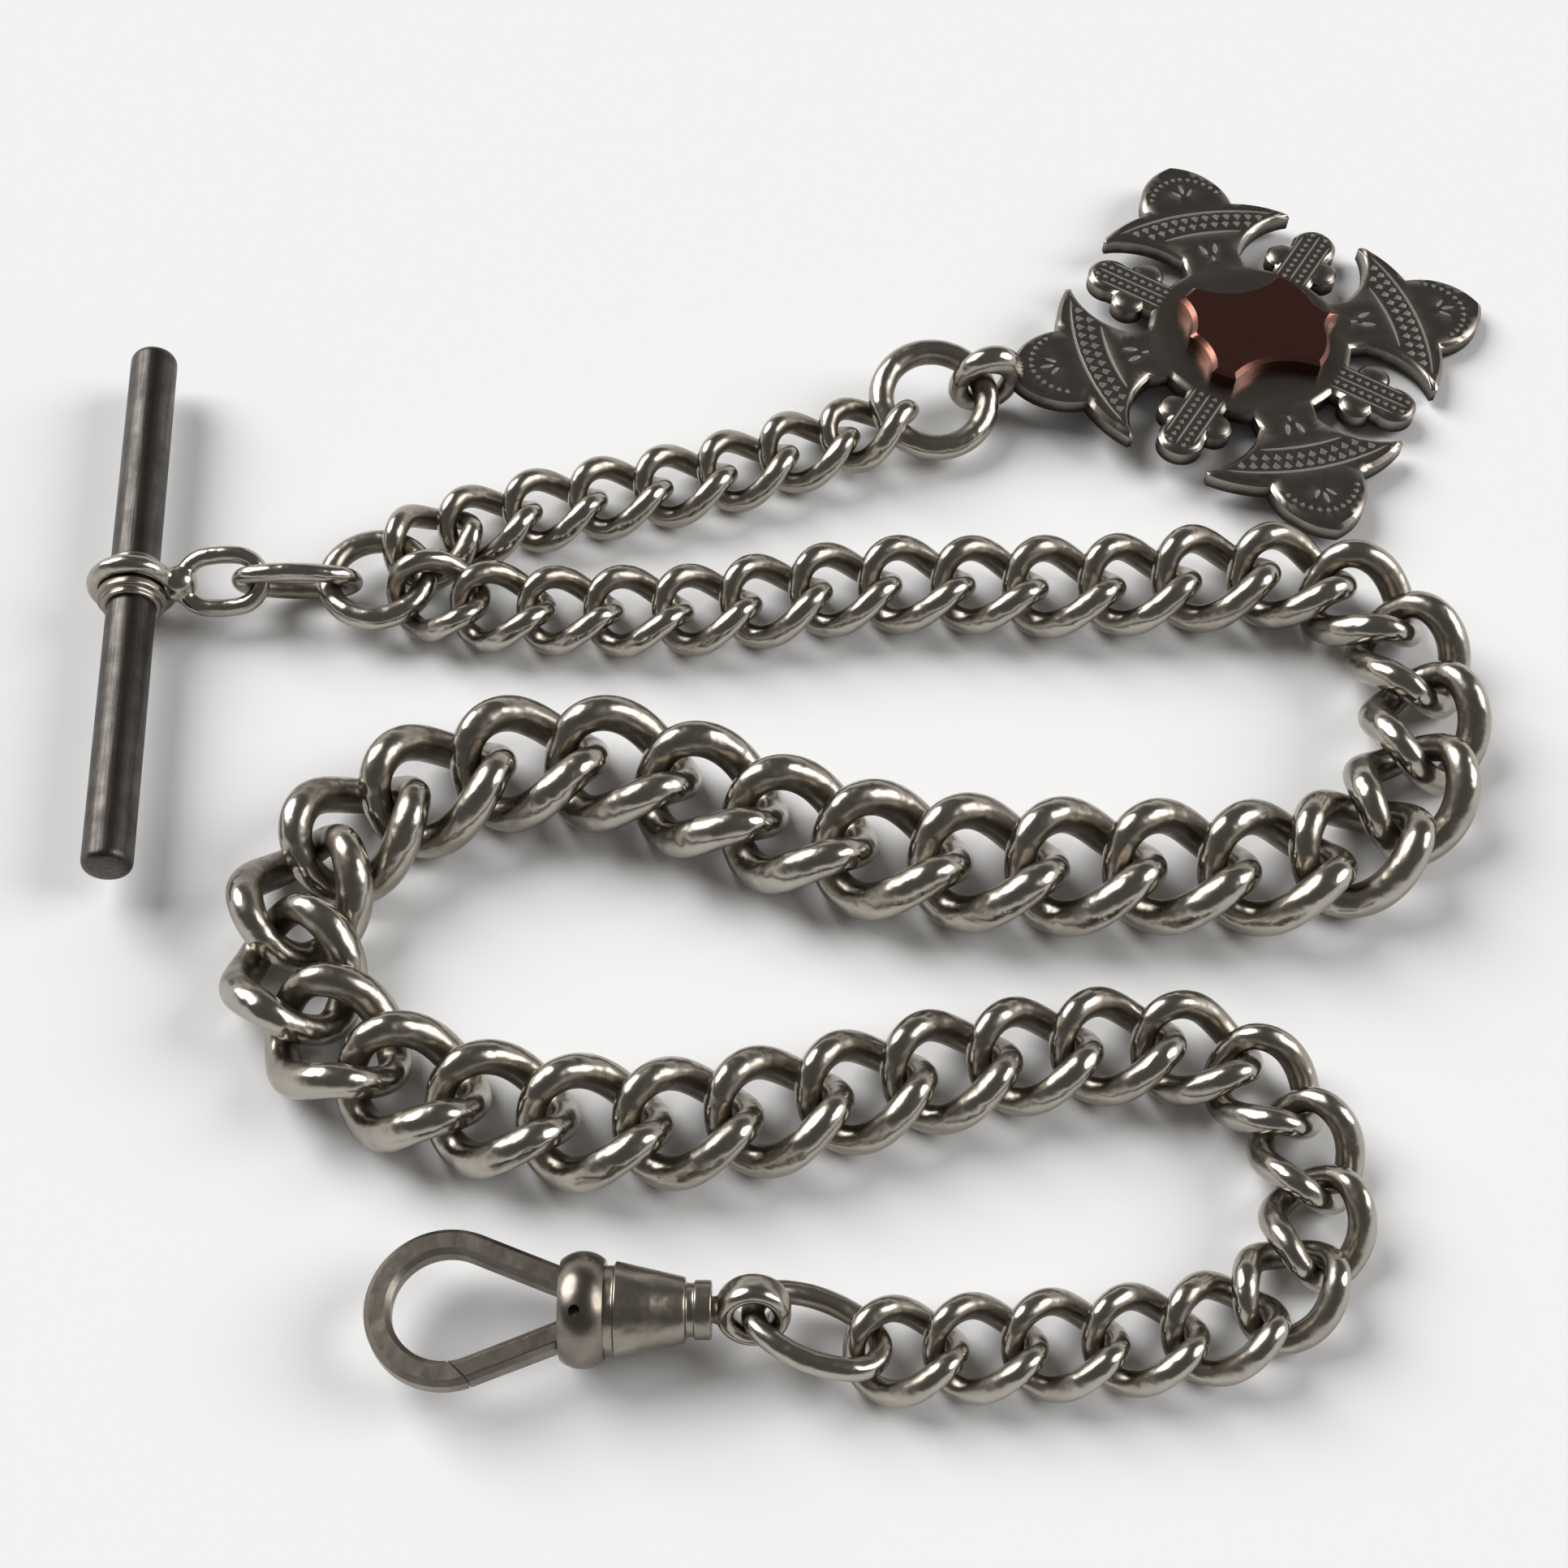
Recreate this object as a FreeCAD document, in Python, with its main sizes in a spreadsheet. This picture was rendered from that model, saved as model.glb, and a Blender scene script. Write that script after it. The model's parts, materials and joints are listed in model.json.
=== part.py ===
import FreeCAD, Part
import math
import os

# Pocket watch chain, a single Albert: T-bar, shackle and connector on a joining ring, a graduated curb chain
# of twisted links that ends in a sprung swivel hook, and a short drop of curb links with an engraved fob.
# The chain lies on the plane z = 0 in three bends. Lengths are in mm and angles in degrees.

Vector = FreeCAD.Vector
Rotation = FreeCAD.Rotation
Placement = FreeCAD.Placement

SIZES = {
    # graduated curb links, from the small ends of the chain to its middle
    "small_link_length": 6.6,
    "large_link_length": 10.05,
    "small_link_width": 5.86,
    "large_link_width": 9.14,
    "small_link_wire": 1.42,
    "large_link_wire": 2.35,
    "largest_link": 25.1,
    "graduation_spread": 16.45,
    # the drop's links are all alike
    "drop_link_length": 7.22,
    "drop_link_width": 6.2,
    "drop_link_wire": 1.58,
    # the shape of every curb link, and its play for each mm of wire
    "link_twist": 45.0,
    "twist_squareness": 0.12,
    "outline_squareness": 0.03,
    "end_thinning": 0.175,
    "link_play": 0.075,
    "bend_play": 0.065,
    "ring_play": 0.22,
    "fob_ring_play": 0.04,
    # joining ring and oval connector
    "joining_ring_diameter": 7.9,
    "joining_ring_wire": 1.55,
    "joining_ring_height": 2.3,
    "connector_length": 8.5,
    "connector_width": 5.2,
    "connector_wire": 1.2,
    "connector_end_radius": 1.6,
    # T-bar and its shackle
    "t_bar_length": 41.8,
    "t_bar_diameter": 3.15,
    "t_bar_end_rounding": 0.7,
    "t_bar_offset": 0.8,
    "bar_fit": 0.05,
    "big_eye_wire": 1.36,
    "small_eye_diameter": 4.7,
    "small_eye_wire": 1.2,
    "small_eye_turn": -30.0,
    "eye_spacing": 6.6,
    "shackle_waist": 1.75,
    "collar_gap": 0.1,
    "collar_rim_diameter": 4.5,
    "collar_step_diameter": 3.8,
    "collar_width": 1.1,
    "collar_rim_width": 0.6,
    "far_collar_diameter": 3.8,
    "far_collar_width": 0.7,
    # fob ring and fob
    "fob_ring_diameter": 9.1,
    "fob_ring_wire": 1.75,
    "bail_diameter": 5.2,
    "bail_wire": 1.4,
    "bail_height": 2.75,
    "bail_distance": 19.6,
    "fob_thickness": 1.35,
    "fob_bevel": 0.3,
    "hub_radius": 7.2,
    "neck_half_width": 2.2,
    "blade_radius": 11.1,
    "blade_half_span": 7.15,
    "blade_tip_width": 0.35,
    "lobe_base_radius": 13.3,
    "lobe_half_width": 3.4,
    "lobe_tip_radius": 17.8,
    "trefoil_stem_width": 3.0,
    "trefoil_side_distance": 8.9,
    "trefoil_side_offset": 1.5,
    "trefoil_side_radius": 1.2,
    "trefoil_end_distance": 11.1,
    "trefoil_end_radius": 1.6,
    "cartouche_height": 1.2,
    # swivel, along its axis from the middle of the eye
    "swivel_link_length": 8.6,
    "swivel_link_width": 5.9,
    "swivel_link_wire": 1.3,
    "swivel_link_end_radius": 1.9,
    "eye_diameter": 4.15,
    "eye_hole": 2.05,
    "eye_width": 1.9,
    "eye_rounding": 0.5,
    "eye_tilt": 25.0,
    "shank_diameter": 1.4,
    "shank_fit": 0.05,
    "shank_head_diameter": 2.4,
    "shank_float": 0.1,
    "collar_start": 2.25,
    "collar_end": 3.2,
    "collar_diameter": 3.2,
    "groove_diameter": 2.9,
    "cone_start": 3.65,
    "cone_end": 7.5,
    "cone_small_diameter": 3.5,
    "cone_large_diameter": 5.25,
    "cavity_start": 4.3,
    "cavity_end": 5.4,
    "bead_neck_diameter": 4.75,
    "bead_start": 8.05,
    "bead_end": 10.45,
    "bead_diameter": 6.3,
    "bead_face_diameter": 5.4,
    "hook_radius": 3.75,
    "hook_length": 10.65,
    "hook_bar": 1.45,
    "hook_bevel": 0.3,
    "hook_tip_angle": 104.0,
    "hook_tip_slant": 33.0,
    "tip_overrun": 12.0,
    "gate_gap": 0.08,
    "gate_fit": 0.13,
    "gate_eye": 0.8,
    "pin_depth": 0.95,
    "pin_offset": 1.15,
    "pin_diameter": 0.6,
    "pin_fit": 0.03,
    "pin_length": 5.0,
    "slot_depth": 1.0,
    "slot_inner": 0.15,
    "slot_outer": 2.42,
    "gate_spring_length": 1.2,
    "gate_spring_width": 1.2,
    "gate_spring_thickness": 0.15,
}

# The lay of the main chain: the turn from each link to the next, chosen so that the chain lies in rows.
TURNS = (
    [8, 3, 0, 8, 6, -6, -7, -3, 3, 5, 2]
    + [-17, -34, -33, -22, -19, -31, -28, -5]
    + [3, -5, -7, -10, -5]
    + [10, 22, 20, 17, 30, 34, 32, 20, 9]
    + [9, 9, 7, 3, -3, -4, -3]
    + [-22, -34, -28, -24, -34, -30, -9]
    + [-2, -1, 0]
)
FIRST_HEADING = -12
DROP_HEADINGS = [34, 20, 14, 13, 16, 22, 21, 20]
# Links of the straight rows that share a node two by two; every other link has a node of its own.
PAIRED_RUNS = [(2, 13), (19, 24), (34, 41), (48, 51)]
# Directions in which the pieces leave the joining ring and the rings after it.
CHAIN_LEAVES_RING = -28
DROP_LEAVES_RING = 55
CONNECTOR_LEAVES_RING = 184
FOB_HEADING = 13.8
RING_TO_BAIL = 31
# Resting poses of the pieces that settle between unlike neighbours: their shift from the line of contacts, the
# height of the centre, heading, roll and climb.
SETTLED = {
    "curb_link_01": (0.0, 0.0, 2.4, -13.8, 21.3, 0.5),
    "curb_link_02": (0.0, 0.0, 2.07, -4.0, 6.0, 0.0),
    "drop_link_1": (0.12, 0.16, 2.12, 42.5, 18.1, -5.1),
    "oval_connector_link": (0.06, -0.01, 2.6, 5.5, -69.1, -8.5),
    "drop_link_8": (0.0, 0.0, 2.2, 23.2, -15.7, 7.3),
    "fob_ring": (-0.32, 0.5, 2.54, 27.5, 15.2, 2.9),
    "swivel_oval_link": (0.02, 0.16, 2.44, 159.9, 24.8, 6.0),
}
SWIVEL_LINK_HEADING = 163
SWIVEL_LINK_CLIMB = 10.2
SWIVEL_HEADING = 180

doc = FreeCAD.newDocument("pocket_watch_chain")
sheet = doc.addObject("Spreadsheet::Sheet", "sizes")
for row, (alias, value) in enumerate(SIZES.items(), start=1):
    sheet.set("A%d" % row, alias)
    sheet.set("B%d" % row, str(value))
    sheet.setAlias("B%d" % row, alias)
doc.recompute()

parts = []


def size(alias):
    """The value of one cell of the sheet."""
    return float(getattr(sheet, alias))


def bind(thing, **expressions):
    """Ties properties of a document object to cells of the sheet."""
    for name, expression in expressions.items():
        thing.setExpression(name, expression)


def primitive(kind, name, placement=None, **expressions):
    """A Part primitive with its sizes bound to the sheet."""
    thing = doc.addObject(kind, name)
    bind(thing, **expressions)
    if placement:
        thing.Placement = placement
    return thing


def combine(kind, name, *shapes):
    """A fuse of several objects, or a cut of the second from the first."""
    thing = doc.addObject(kind, name)
    if kind == "Part::MultiFuse":
        thing.Shapes = list(shapes)
    else:
        thing.Base, thing.Tool = shapes
    return thing


def keep(thing, label, placement=None):
    """Names a finished sub-part and puts it in its place."""
    thing.Label = label
    if placement:
        thing.Placement = placement
    parts.append(thing)
    return thing


def heading(angle):
    """The unit vector at this angle in the plane of the chain."""
    return Vector(math.cos(math.radians(angle)), math.sin(math.radians(angle)), 0)


def lying(centre, angle, roll=0.0, climb=0.0):
    """A piece whose own x axis points along the heading and climbs a little, rolled about that axis."""
    turn = (
        Rotation(Vector(0, 0, 1), angle)
        .multiply(Rotation(Vector(0, 1, 0), -climb))
        .multiply(Rotation(Vector(1, 0, 0), roll))
    )
    return Placement(centre, turn)


def settled(label, centre):
    """The same for a piece that has settled between neighbours of other kinds."""
    dx, dy, height, angle, roll, climb = SETTLED[label]
    return lying(Vector(centre.x + dx, centre.y + dy, height), angle, roll, climb)


# Curb links. A link's centreline is an oval whose plane twists from one end to the other, so that a row of
# them lies flat; its wire is thinner at the ends, where a worn chain rubs.


def link_centre(angle, link):
    """The oval, squared a little at its corners, twisted about the x axis in step with its cosine."""
    across, along = math.sin(angle), math.cos(angle)
    triple = math.cos(3 * angle)
    square, oval = size("twist_squareness"), size("outline_squareness")
    twist = -math.radians(size("link_twist")) * (along - square * triple) / (1 - square)
    x = link["reach"] * (along - oval * triple) / (1 - oval)
    y = link["half_width"] * (across + oval * math.sin(3 * angle)) / (1 - oval)
    return Vector(x, y * math.cos(twist), y * math.sin(twist))


def link_radius(angle, link):
    """The wire's radius, full at the sides and thinned at the two ends."""
    return link["wire"] / 2 * (1 - size("end_thinning") * math.cos(angle) ** 2)


def link_tangent(angle, link):
    step = 1e-4
    return (link_centre(angle + step, link) - link_centre(angle - step, link)).normalize()


def curb_link(length, width, wire):
    """The sizes that place a link: from its centre to the wire at an end, and to the bearing face there."""
    end_wire = wire * (1 - size("end_thinning"))
    return {
        "reach": (length - end_wire) / 2,
        "half_width": (width - wire) / 2,
        "wire": wire,
        "bearing": length / 2 - end_wire,
    }


def link_rise(link):
    """How far the link's lowest point lies under its centre."""
    lowest = 0.0
    for step in range(180):
        angle = 2 * math.pi * step / 180
        slope = link_tangent(angle, link).z
        lowest = min(lowest, link_centre(angle, link).z - link_radius(angle, link) * math.sqrt(1 - slope**2))
    return -lowest


def link_shape(link):
    """Half the link is lofted through round sections; the other half is the same, turned over."""
    sections = []
    steps = 10
    for step in range(steps + 1):
        angle = math.pi * step / steps
        centre, tangent = link_centre(angle, link), link_tangent(angle, link)
        outward = (centre - tangent * centre.dot(tangent)).normalize()
        circle = Part.Circle(Vector(0, 0, 0), Vector(0, 0, 1), link_radius(angle, link)).toShape()
        circle.Placement = Placement(centre, Rotation(outward, tangent.cross(outward), tangent, "XYZ"))
        sections.append(Part.Wire([circle]))
    half = Part.makeLoft(sections, True, False, False)
    other = half.copy()
    other.rotate(Vector(0, 0, 0), Vector(1, 0, 0), 180)
    return half.fuse(other)


def placed_link(link, placement):
    shape = link_shape(link)
    shape.Placement = placement
    return shape


def link_group(label, shapes):
    """One node: a single link, or two neighbours as separate solids."""
    thing = doc.addObject("Part::Feature", label)
    thing.Shape = shapes[0] if len(shapes) == 1 else Part.makeCompound(shapes)
    keep(thing, label)


def graduated(number):
    """Link sizes swell from the ends of the chain to its largest link."""
    share = math.exp(-(((number - size("largest_link")) / size("graduation_spread")) ** 2))
    blend = {
        name: size("small_link_" + name) * (1 - share) + size("large_link_" + name) * share
        for name in ("length", "width", "wire")
    }
    return curb_link(blend["length"], blend["width"], blend["wire"])


# The joining ring's centre is the origin while the chain is laid out from it.
joining_reach = (size("joining_ring_diameter") - size("joining_ring_wire")) / 2
joining_bearing = joining_reach - size("joining_ring_wire") / 2
joining_centre = Vector(0, 0, size("joining_ring_height"))
ring_slack = size("ring_play") / 2

# Main chain: each link hangs from the one before at the middle of their play.
chain_links = [graduated(number) for number in range(1, len(TURNS) + 2)]
chain_headings = [FIRST_HEADING]
for turn in TURNS:
    chain_headings.append(chain_headings[-1] + turn)
chain_centres = []
chain_contacts = [heading(CHAIN_LEAVES_RING) * (joining_bearing - ring_slack)]
for index, link in enumerate(chain_links):
    if index == 0:
        slack = ring_slack
    else:
        bend = abs(TURNS[index - 1]) / 30
        play = link["wire"] * (size("link_play") + size("bend_play") * bend)
        slack = play / 2
        before = chain_links[index - 1]
        step = heading(chain_headings[index - 1]) * (before["bearing"] - slack)
        chain_contacts.append(chain_centres[-1] + step)
    centre = chain_contacts[-1] + heading(chain_headings[index]) * (link["bearing"] - slack)
    chain_centres.append(centre)
chain_heights = [link_rise(link) for link in chain_links]
chain_places = [
    lying(centre + Vector(0, 0, height), angle)
    for centre, height, angle in zip(chain_centres, chain_heights, chain_headings)
]
chain_places[0] = settled("curb_link_01", chain_centres[0])
chain_places[1] = settled("curb_link_02", chain_centres[1])

chain_nodes = []
paired = {number: number + 1 for first, last in PAIRED_RUNS for number in range(first, last, 2)}
number = 1
while number <= len(chain_links):
    numbers = [number, paired[number]] if number in paired else [number]
    chain_nodes.append(numbers)
    number = numbers[-1] + 1
for numbers in chain_nodes:
    plural = "curb_links_" if len(numbers) > 1 else "curb_link_"
    label = plural + "_".join("%02d" % n for n in numbers)
    link_group(label, [placed_link(chain_links[n - 1], chain_places[n - 1]) for n in numbers])

# Fob drop: eight equal links from the joining ring to the fob ring, in four nodes of two.
drop_link = curb_link(size("drop_link_length"), size("drop_link_width"), size("drop_link_wire"))
drop_slack = size("drop_link_wire") * size("link_play") / 2
drop_contacts = [heading(DROP_LEAVES_RING) * (joining_bearing - ring_slack)]
drop_centres = []
for index, angle in enumerate(DROP_HEADINGS):
    slack = ring_slack if index == 0 else drop_slack
    if index > 0:
        step = heading(DROP_HEADINGS[index - 1]) * (drop_link["bearing"] - slack)
        drop_contacts.append(drop_centres[-1] + step)
    drop_centres.append(drop_contacts[-1] + heading(angle) * (drop_link["bearing"] - slack))
drop_height = link_rise(drop_link)
drop_places = [
    lying(centre + Vector(0, 0, drop_height), angle) for centre, angle in zip(drop_centres, DROP_HEADINGS)
]
drop_places[0] = settled("drop_link_1", drop_centres[0])
drop_places[-1] = settled("drop_link_8", drop_centres[-1])
for first in range(0, len(drop_places), 2):
    label = "drop_links_%d_%d" % (first + 1, first + 2)
    link_group(label, [placed_link(drop_link, place) for place in drop_places[first : first + 2]])


# Rings and oval links


def ring(name, reach, wire, placement):
    """A round ring of round wire: reach is the expression of its mean radius."""
    torus = primitive("Part::Torus", name, Radius1=reach, Radius2=wire)
    return keep(torus, name, placement)


def oval_link(name, prefix, placement):
    """An oval link of round wire, its centreline four arcs: half is swept and the other half is its mirror."""
    reach = (size(prefix + "_length") - size(prefix + "_wire")) / 2
    half_width = (size(prefix + "_width") - size(prefix + "_wire")) / 2
    end = size(prefix + "_end_radius")
    drop_down = ((reach - end) ** 2 - (half_width - end) ** 2) / (2 * (half_width - end))
    meeting = math.atan2(drop_down, reach - end)
    path = doc.addObject("Sketcher::SketchObject", name + "_path")
    corners = []
    for angle in (0, meeting / 2, meeting):
        corners.append(Vector(reach - end + end * math.cos(angle), end * math.sin(angle), 0))
    path.addGeometry(Part.Arc(*corners), False)
    path.addGeometry(Part.Arc(corners[2], Vector(0, half_width, 0), Vector(-corners[2].x, corners[2].y, 0)), False)
    path.addGeometry(Part.Arc(*[Vector(-point.x, point.y, 0) for point in corners[::-1]]), False)
    profile = primitive("Part::Circle", name + "_profile", Radius="sizes.%s_wire / 2" % prefix)
    profile.Placement = Placement(Vector(reach, 0, 0), Rotation(Vector(1, 0, 0), 90))
    half = doc.addObject("Part::Sweep", name + "_half")
    half.Sections = [profile]
    half.Spine = (path, ["Edge1", "Edge2", "Edge3"])
    half.Solid = True
    other = doc.addObject("Part::Mirroring", name + "_other_half")
    other.Source = half
    other.Normal = Vector(0, 1, 0)
    return keep(combine("Part::MultiFuse", name, half, other), name, placement)


ring(
    "joining_ring",
    "(sizes.joining_ring_diameter - sizes.joining_ring_wire) / 2",
    "sizes.joining_ring_wire / 2",
    Placement(joining_centre, Rotation()),
)

connector_bearing = size("connector_length") / 2 - size("connector_wire")
connector_contact = heading(CONNECTOR_LEAVES_RING) * (joining_bearing - ring_slack)
connector_centre = connector_contact + heading(CONNECTOR_LEAVES_RING) * (connector_bearing - ring_slack)
oval_link("oval_connector_link", "connector", settled("oval_connector_link", connector_centre))

# T-bar shackle: a figure of eight whose small eye is turned out of the plane of the big one. Its own x axis
# points from the bar to the small eye and its own z axis along the bar.
bar_radius = size("t_bar_diameter") / 2
big_reach = bar_radius + size("bar_fit") + size("big_eye_wire") / 2
small_reach = (size("small_eye_diameter") - size("small_eye_wire")) / 2
small_bearing = small_reach - size("small_eye_wire") / 2
shackle_contact = connector_centre + heading(CONNECTOR_LEAVES_RING) * (connector_bearing - ring_slack)
small_eye_centre = shackle_contact + heading(CONNECTOR_LEAVES_RING) * (small_bearing - ring_slack)
bar_height = big_reach + size("big_eye_wire") / 2
bar_centre = small_eye_centre + heading(CONNECTOR_LEAVES_RING) * size("eye_spacing") + Vector(0, 0, bar_height)
big_eye = primitive(
    "Part::Torus",
    "shackle_big_eye",
    Radius1="sizes.t_bar_diameter / 2 + sizes.bar_fit + sizes.big_eye_wire / 2",
    Radius2="sizes.big_eye_wire / 2",
)
small_eye = primitive(
    "Part::Torus",
    "shackle_small_eye",
    Radius1="(sizes.small_eye_diameter - sizes.small_eye_wire) / 2",
    Radius2="sizes.small_eye_wire / 2",
)
small_eye.Placement = Placement(
    Vector(size("eye_spacing"), 0, 0), Rotation(Vector(1, 0, 0), 90 - size("small_eye_turn"))
)
waist = primitive(
    "Part::Cylinder",
    "shackle_waist",
    Radius="sizes.shackle_waist / 2",
    Height="sizes.eye_spacing - sizes.t_bar_diameter / 2 - sizes.big_eye_wire - sizes.small_eye_diameter / 2"
    " + sizes.small_eye_wire",
)
waist.Placement = Placement(
    Vector(big_reach + size("big_eye_wire") / 4, 0, 0), Rotation(Vector(0, 1, 0), 90)
)
shackle_turn = Rotation(Vector(0, 0, 1), CONNECTOR_LEAVES_RING - 180).multiply(Rotation(Vector(1, 0, 0), -90))
shackle_place = Placement(bar_centre, shackle_turn)
keep(combine("Part::MultiFuse", "t_bar_shackle", big_eye, small_eye, waist), "t_bar_shackle", shackle_place)

# T-bar: a round bar with rounded ends, and the two collars that keep the shackle at its middle
bar_body = doc.addObject("PartDesign::Body", "t_bar")
bar = bar_body.newObject("PartDesign::AdditiveCylinder", "t_bar_blank")
bind(bar, Radius="sizes.t_bar_diameter / 2", Height="sizes.t_bar_length")
doc.recompute()
rounding = bar_body.newObject("PartDesign::Fillet", "t_bar_ends")
round_edges = [
    "Edge%d" % (i + 1) for i, edge in enumerate(bar.Shape.Edges) if isinstance(edge.Curve, Part.Circle)
]
rounding.Base = (bar, round_edges)
bind(rounding, Radius="sizes.t_bar_end_rounding")
bar_start = Vector(0, 0, -size("t_bar_length") / 2 - size("t_bar_offset"))
keep(bar_body, "t_bar", shackle_place.multiply(Placement(bar_start, Rotation())))


# Sketched bodies


def outline(sketch, points):
    """Closes an outline of lines and arcs: each point is (x, y), or (x, y, via x, via y) at an arc's end."""
    for start, end in zip(points, points[1:] + points[:1]):
        first, last = Vector(start[0], start[1], 0), Vector(end[0], end[1], 0)
        if len(end) == 4:
            sketch.addGeometry(Part.Arc(first, Vector(end[2], end[3], 0), last), False)
        else:
            sketch.addGeometry(Part.LineSegment(first, last), False)


def both_halves(half):
    """The whole outline from one half that starts and ends on the x axis; the other half mirrors it."""
    back = []
    for near, far in zip(half, half[1:]):
        via = (far[2], -far[3]) if len(far) == 4 else ()
        back.insert(0, (near[0], -near[1], *via))
    return half[1:] + back


def origin_item(body, role):
    return next(item for item in body.Origin.OriginFeatures if item.Role == role)


def sketch_on(body, name, role="XY_Plane"):
    """A sketch on one of the body's own origin planes."""
    sketch = body.newObject("Sketcher::SketchObject", name)
    sketch.AttachmentSupport = [(origin_item(body, role), "")]
    sketch.MapMode = "FlatFace"
    return sketch


def circle(sketch, x, y, radius):
    sketch.addGeometry(Part.Circle(Vector(x, y, 0), Vector(0, 0, 1), radius), False)


def bevelled_pads(body, name, draw, thickness):
    """An outline padded to its thickness: a straight pad, and on it a thin one that tapers to the bevel."""
    straight, tapered = sketch_on(body, name), sketch_on(body, name + "_top")
    draw(straight)
    draw(tapered)
    bind(tapered, **{"AttachmentOffset.Base.z": thickness + " - sizes.fob_bevel"})
    side = body.newObject("PartDesign::Pad", name + "_side")
    side.Profile = straight
    bind(side, Length=thickness + " - sizes.fob_bevel")
    bevel = body.newObject("PartDesign::Pad", name + "_bevel")
    bevel.Profile = tapered
    bevel.TaperAngle = -45
    bind(bevel, Length="sizes.fob_bevel")
    body.Tip = bevel
    return [side, bevel]


def four_times(body, features, name):
    """A pattern of features round the body's z axis."""
    pattern = body.newObject("PartDesign::PolarPattern", name)
    pattern.Originals = features
    pattern.Axis = (origin_item(body, "Z_Axis"), [""])
    pattern.Angle = 360
    pattern.Occurrences = 4
    body.Tip = pattern
    return pattern


def turned_profile(name, points, placement, label=True):
    """A solid of revolution about its own x axis, from (along, radius) points of a closed outline."""
    body = doc.addObject("PartDesign::Body", name)
    sketch = sketch_on(body, name + "_profile")
    outline(sketch, points)
    turned = body.newObject("PartDesign::Revolution", name + "_turned")
    turned.Profile = sketch
    turned.ReferenceAxis = (origin_item(body, "X_Axis"), [""])
    turned.Angle = 360
    return keep(body, name, placement) if label else body


along_bar = shackle_place.multiply(Placement(Vector(0, 0, 0), Rotation(Vector(0, 1, 0), -90)))
collar_start = size("big_eye_wire") / 2 + size("collar_gap")
rim_radius = size("collar_rim_diameter") / 2
step_radius = size("collar_step_diameter") / 2
turned_profile(
    "t_bar_near_collar",
    [
        (-collar_start, bar_radius),
        (-collar_start, rim_radius),
        (-collar_start - size("collar_rim_width"), rim_radius),
        (-collar_start - size("collar_rim_width"), step_radius),
        (-collar_start - size("collar_width"), step_radius),
        (-collar_start - size("collar_width"), bar_radius),
    ],
    along_bar,
)
turned_profile(
    "t_bar_far_collar",
    [
        (collar_start, bar_radius),
        (collar_start, size("far_collar_diameter") / 2),
        (collar_start + size("far_collar_width"), size("far_collar_diameter") / 2),
        (collar_start + size("far_collar_width"), bar_radius),
    ],
    along_bar,
)

# Fob ring and fob
ring_reach = (size("fob_ring_diameter") - size("fob_ring_wire")) / 2
ring_bearing = ring_reach - size("fob_ring_wire") / 2
last_drop = heading(DROP_HEADINGS[-1])
fob_slack = size("fob_ring_play") / 2
fob_ring_contact = drop_centres[-1] + last_drop * (drop_link["bearing"] - fob_slack)
fob_ring_centre = fob_ring_contact + last_drop * (ring_bearing - fob_slack)
ring(
    "fob_ring",
    "(sizes.fob_ring_diameter - sizes.fob_ring_wire) / 2",
    "sizes.fob_ring_wire / 2",
    settled("fob_ring", fob_ring_centre),
)

# The fob lies flat; its bail is held up by the fob ring and the far lobe touches the table, so it slopes.
bail_reach = (size("bail_diameter") - size("bail_wire")) / 2
bail_bearing = bail_reach - size("bail_wire") / 2
bail_contact = fob_ring_centre + heading(RING_TO_BAIL) * (ring_bearing - ring_slack)
bail_centre = bail_contact + heading(RING_TO_BAIL) * (bail_bearing - ring_slack)
half_plate = size("fob_thickness") / 2
slope = math.degrees(
    math.asin((size("bail_height") - half_plate) / (size("bail_distance") + size("lobe_tip_radius")))
)
fob_turn = Rotation(Vector(0, 0, 1), FOB_HEADING).multiply(Rotation(Vector(0, 1, 0), slope))
bail_middle = Vector(bail_centre.x, bail_centre.y, size("bail_height"))
fob_centre = bail_middle + fob_turn.multVec(Vector(size("bail_distance"), 0, 0))
fob_place = Placement(fob_centre, fob_turn)

# Bail: a hoop on edge, soldered in a notch at the end of the plate's lobe
ring(
    "fob_bail",
    "(sizes.bail_diameter - sizes.bail_wire) / 2",
    "sizes.bail_wire / 2",
    fob_place.multiply(Placement(Vector(-size("bail_distance"), 0, 0), Rotation(Vector(1, 0, 0), 90))),
)


# Fob cross: a plate with a hub, four arms whose curved blades end in a round lobe, and a trefoil between
# each two arms. Its own x axis points away from the bail.
cross = doc.addObject("PartDesign::Body", "cross_plate")
hub_radius, neck_half = size("hub_radius"), size("neck_half_width")
blade, span = size("blade_radius"), size("blade_half_span")
lobe_base, lobe_half, lobe_tip = size("lobe_base_radius"), size("lobe_half_width"), size("lobe_tip_radius")
overlap = hub_radius * 0.8
bevelled_pads(cross, "hub", lambda sketch: circle(sketch, 0, 0, hub_radius), "sizes.fob_thickness")

neck_end = hub_radius + (blade - hub_radius) / 4
inner_via = (hub_radius + (blade - hub_radius) * 0.75, neck_half + (span - neck_half) * 0.36)
outer_via = (blade + (lobe_base - blade) * 0.66, lobe_half + (span - lobe_half) * 0.56)
lobe_via = (lobe_base + (lobe_tip - lobe_base) * 0.6, lobe_half * 0.76)
arm_half = [
    (overlap, 0),
    (overlap, neck_half),
    (neck_end, neck_half),
    (blade, span, *inner_via),
    (blade + size("blade_tip_width"), span),
    (lobe_base, lobe_half, *outer_via),
    (lobe_tip, 0, *lobe_via),
]
arm_pads = bevelled_pads(cross, "arm", lambda sketch: outline(sketch, both_halves(arm_half)), "sizes.fob_thickness")
four_times(cross, arm_pads, "arms")

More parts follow.
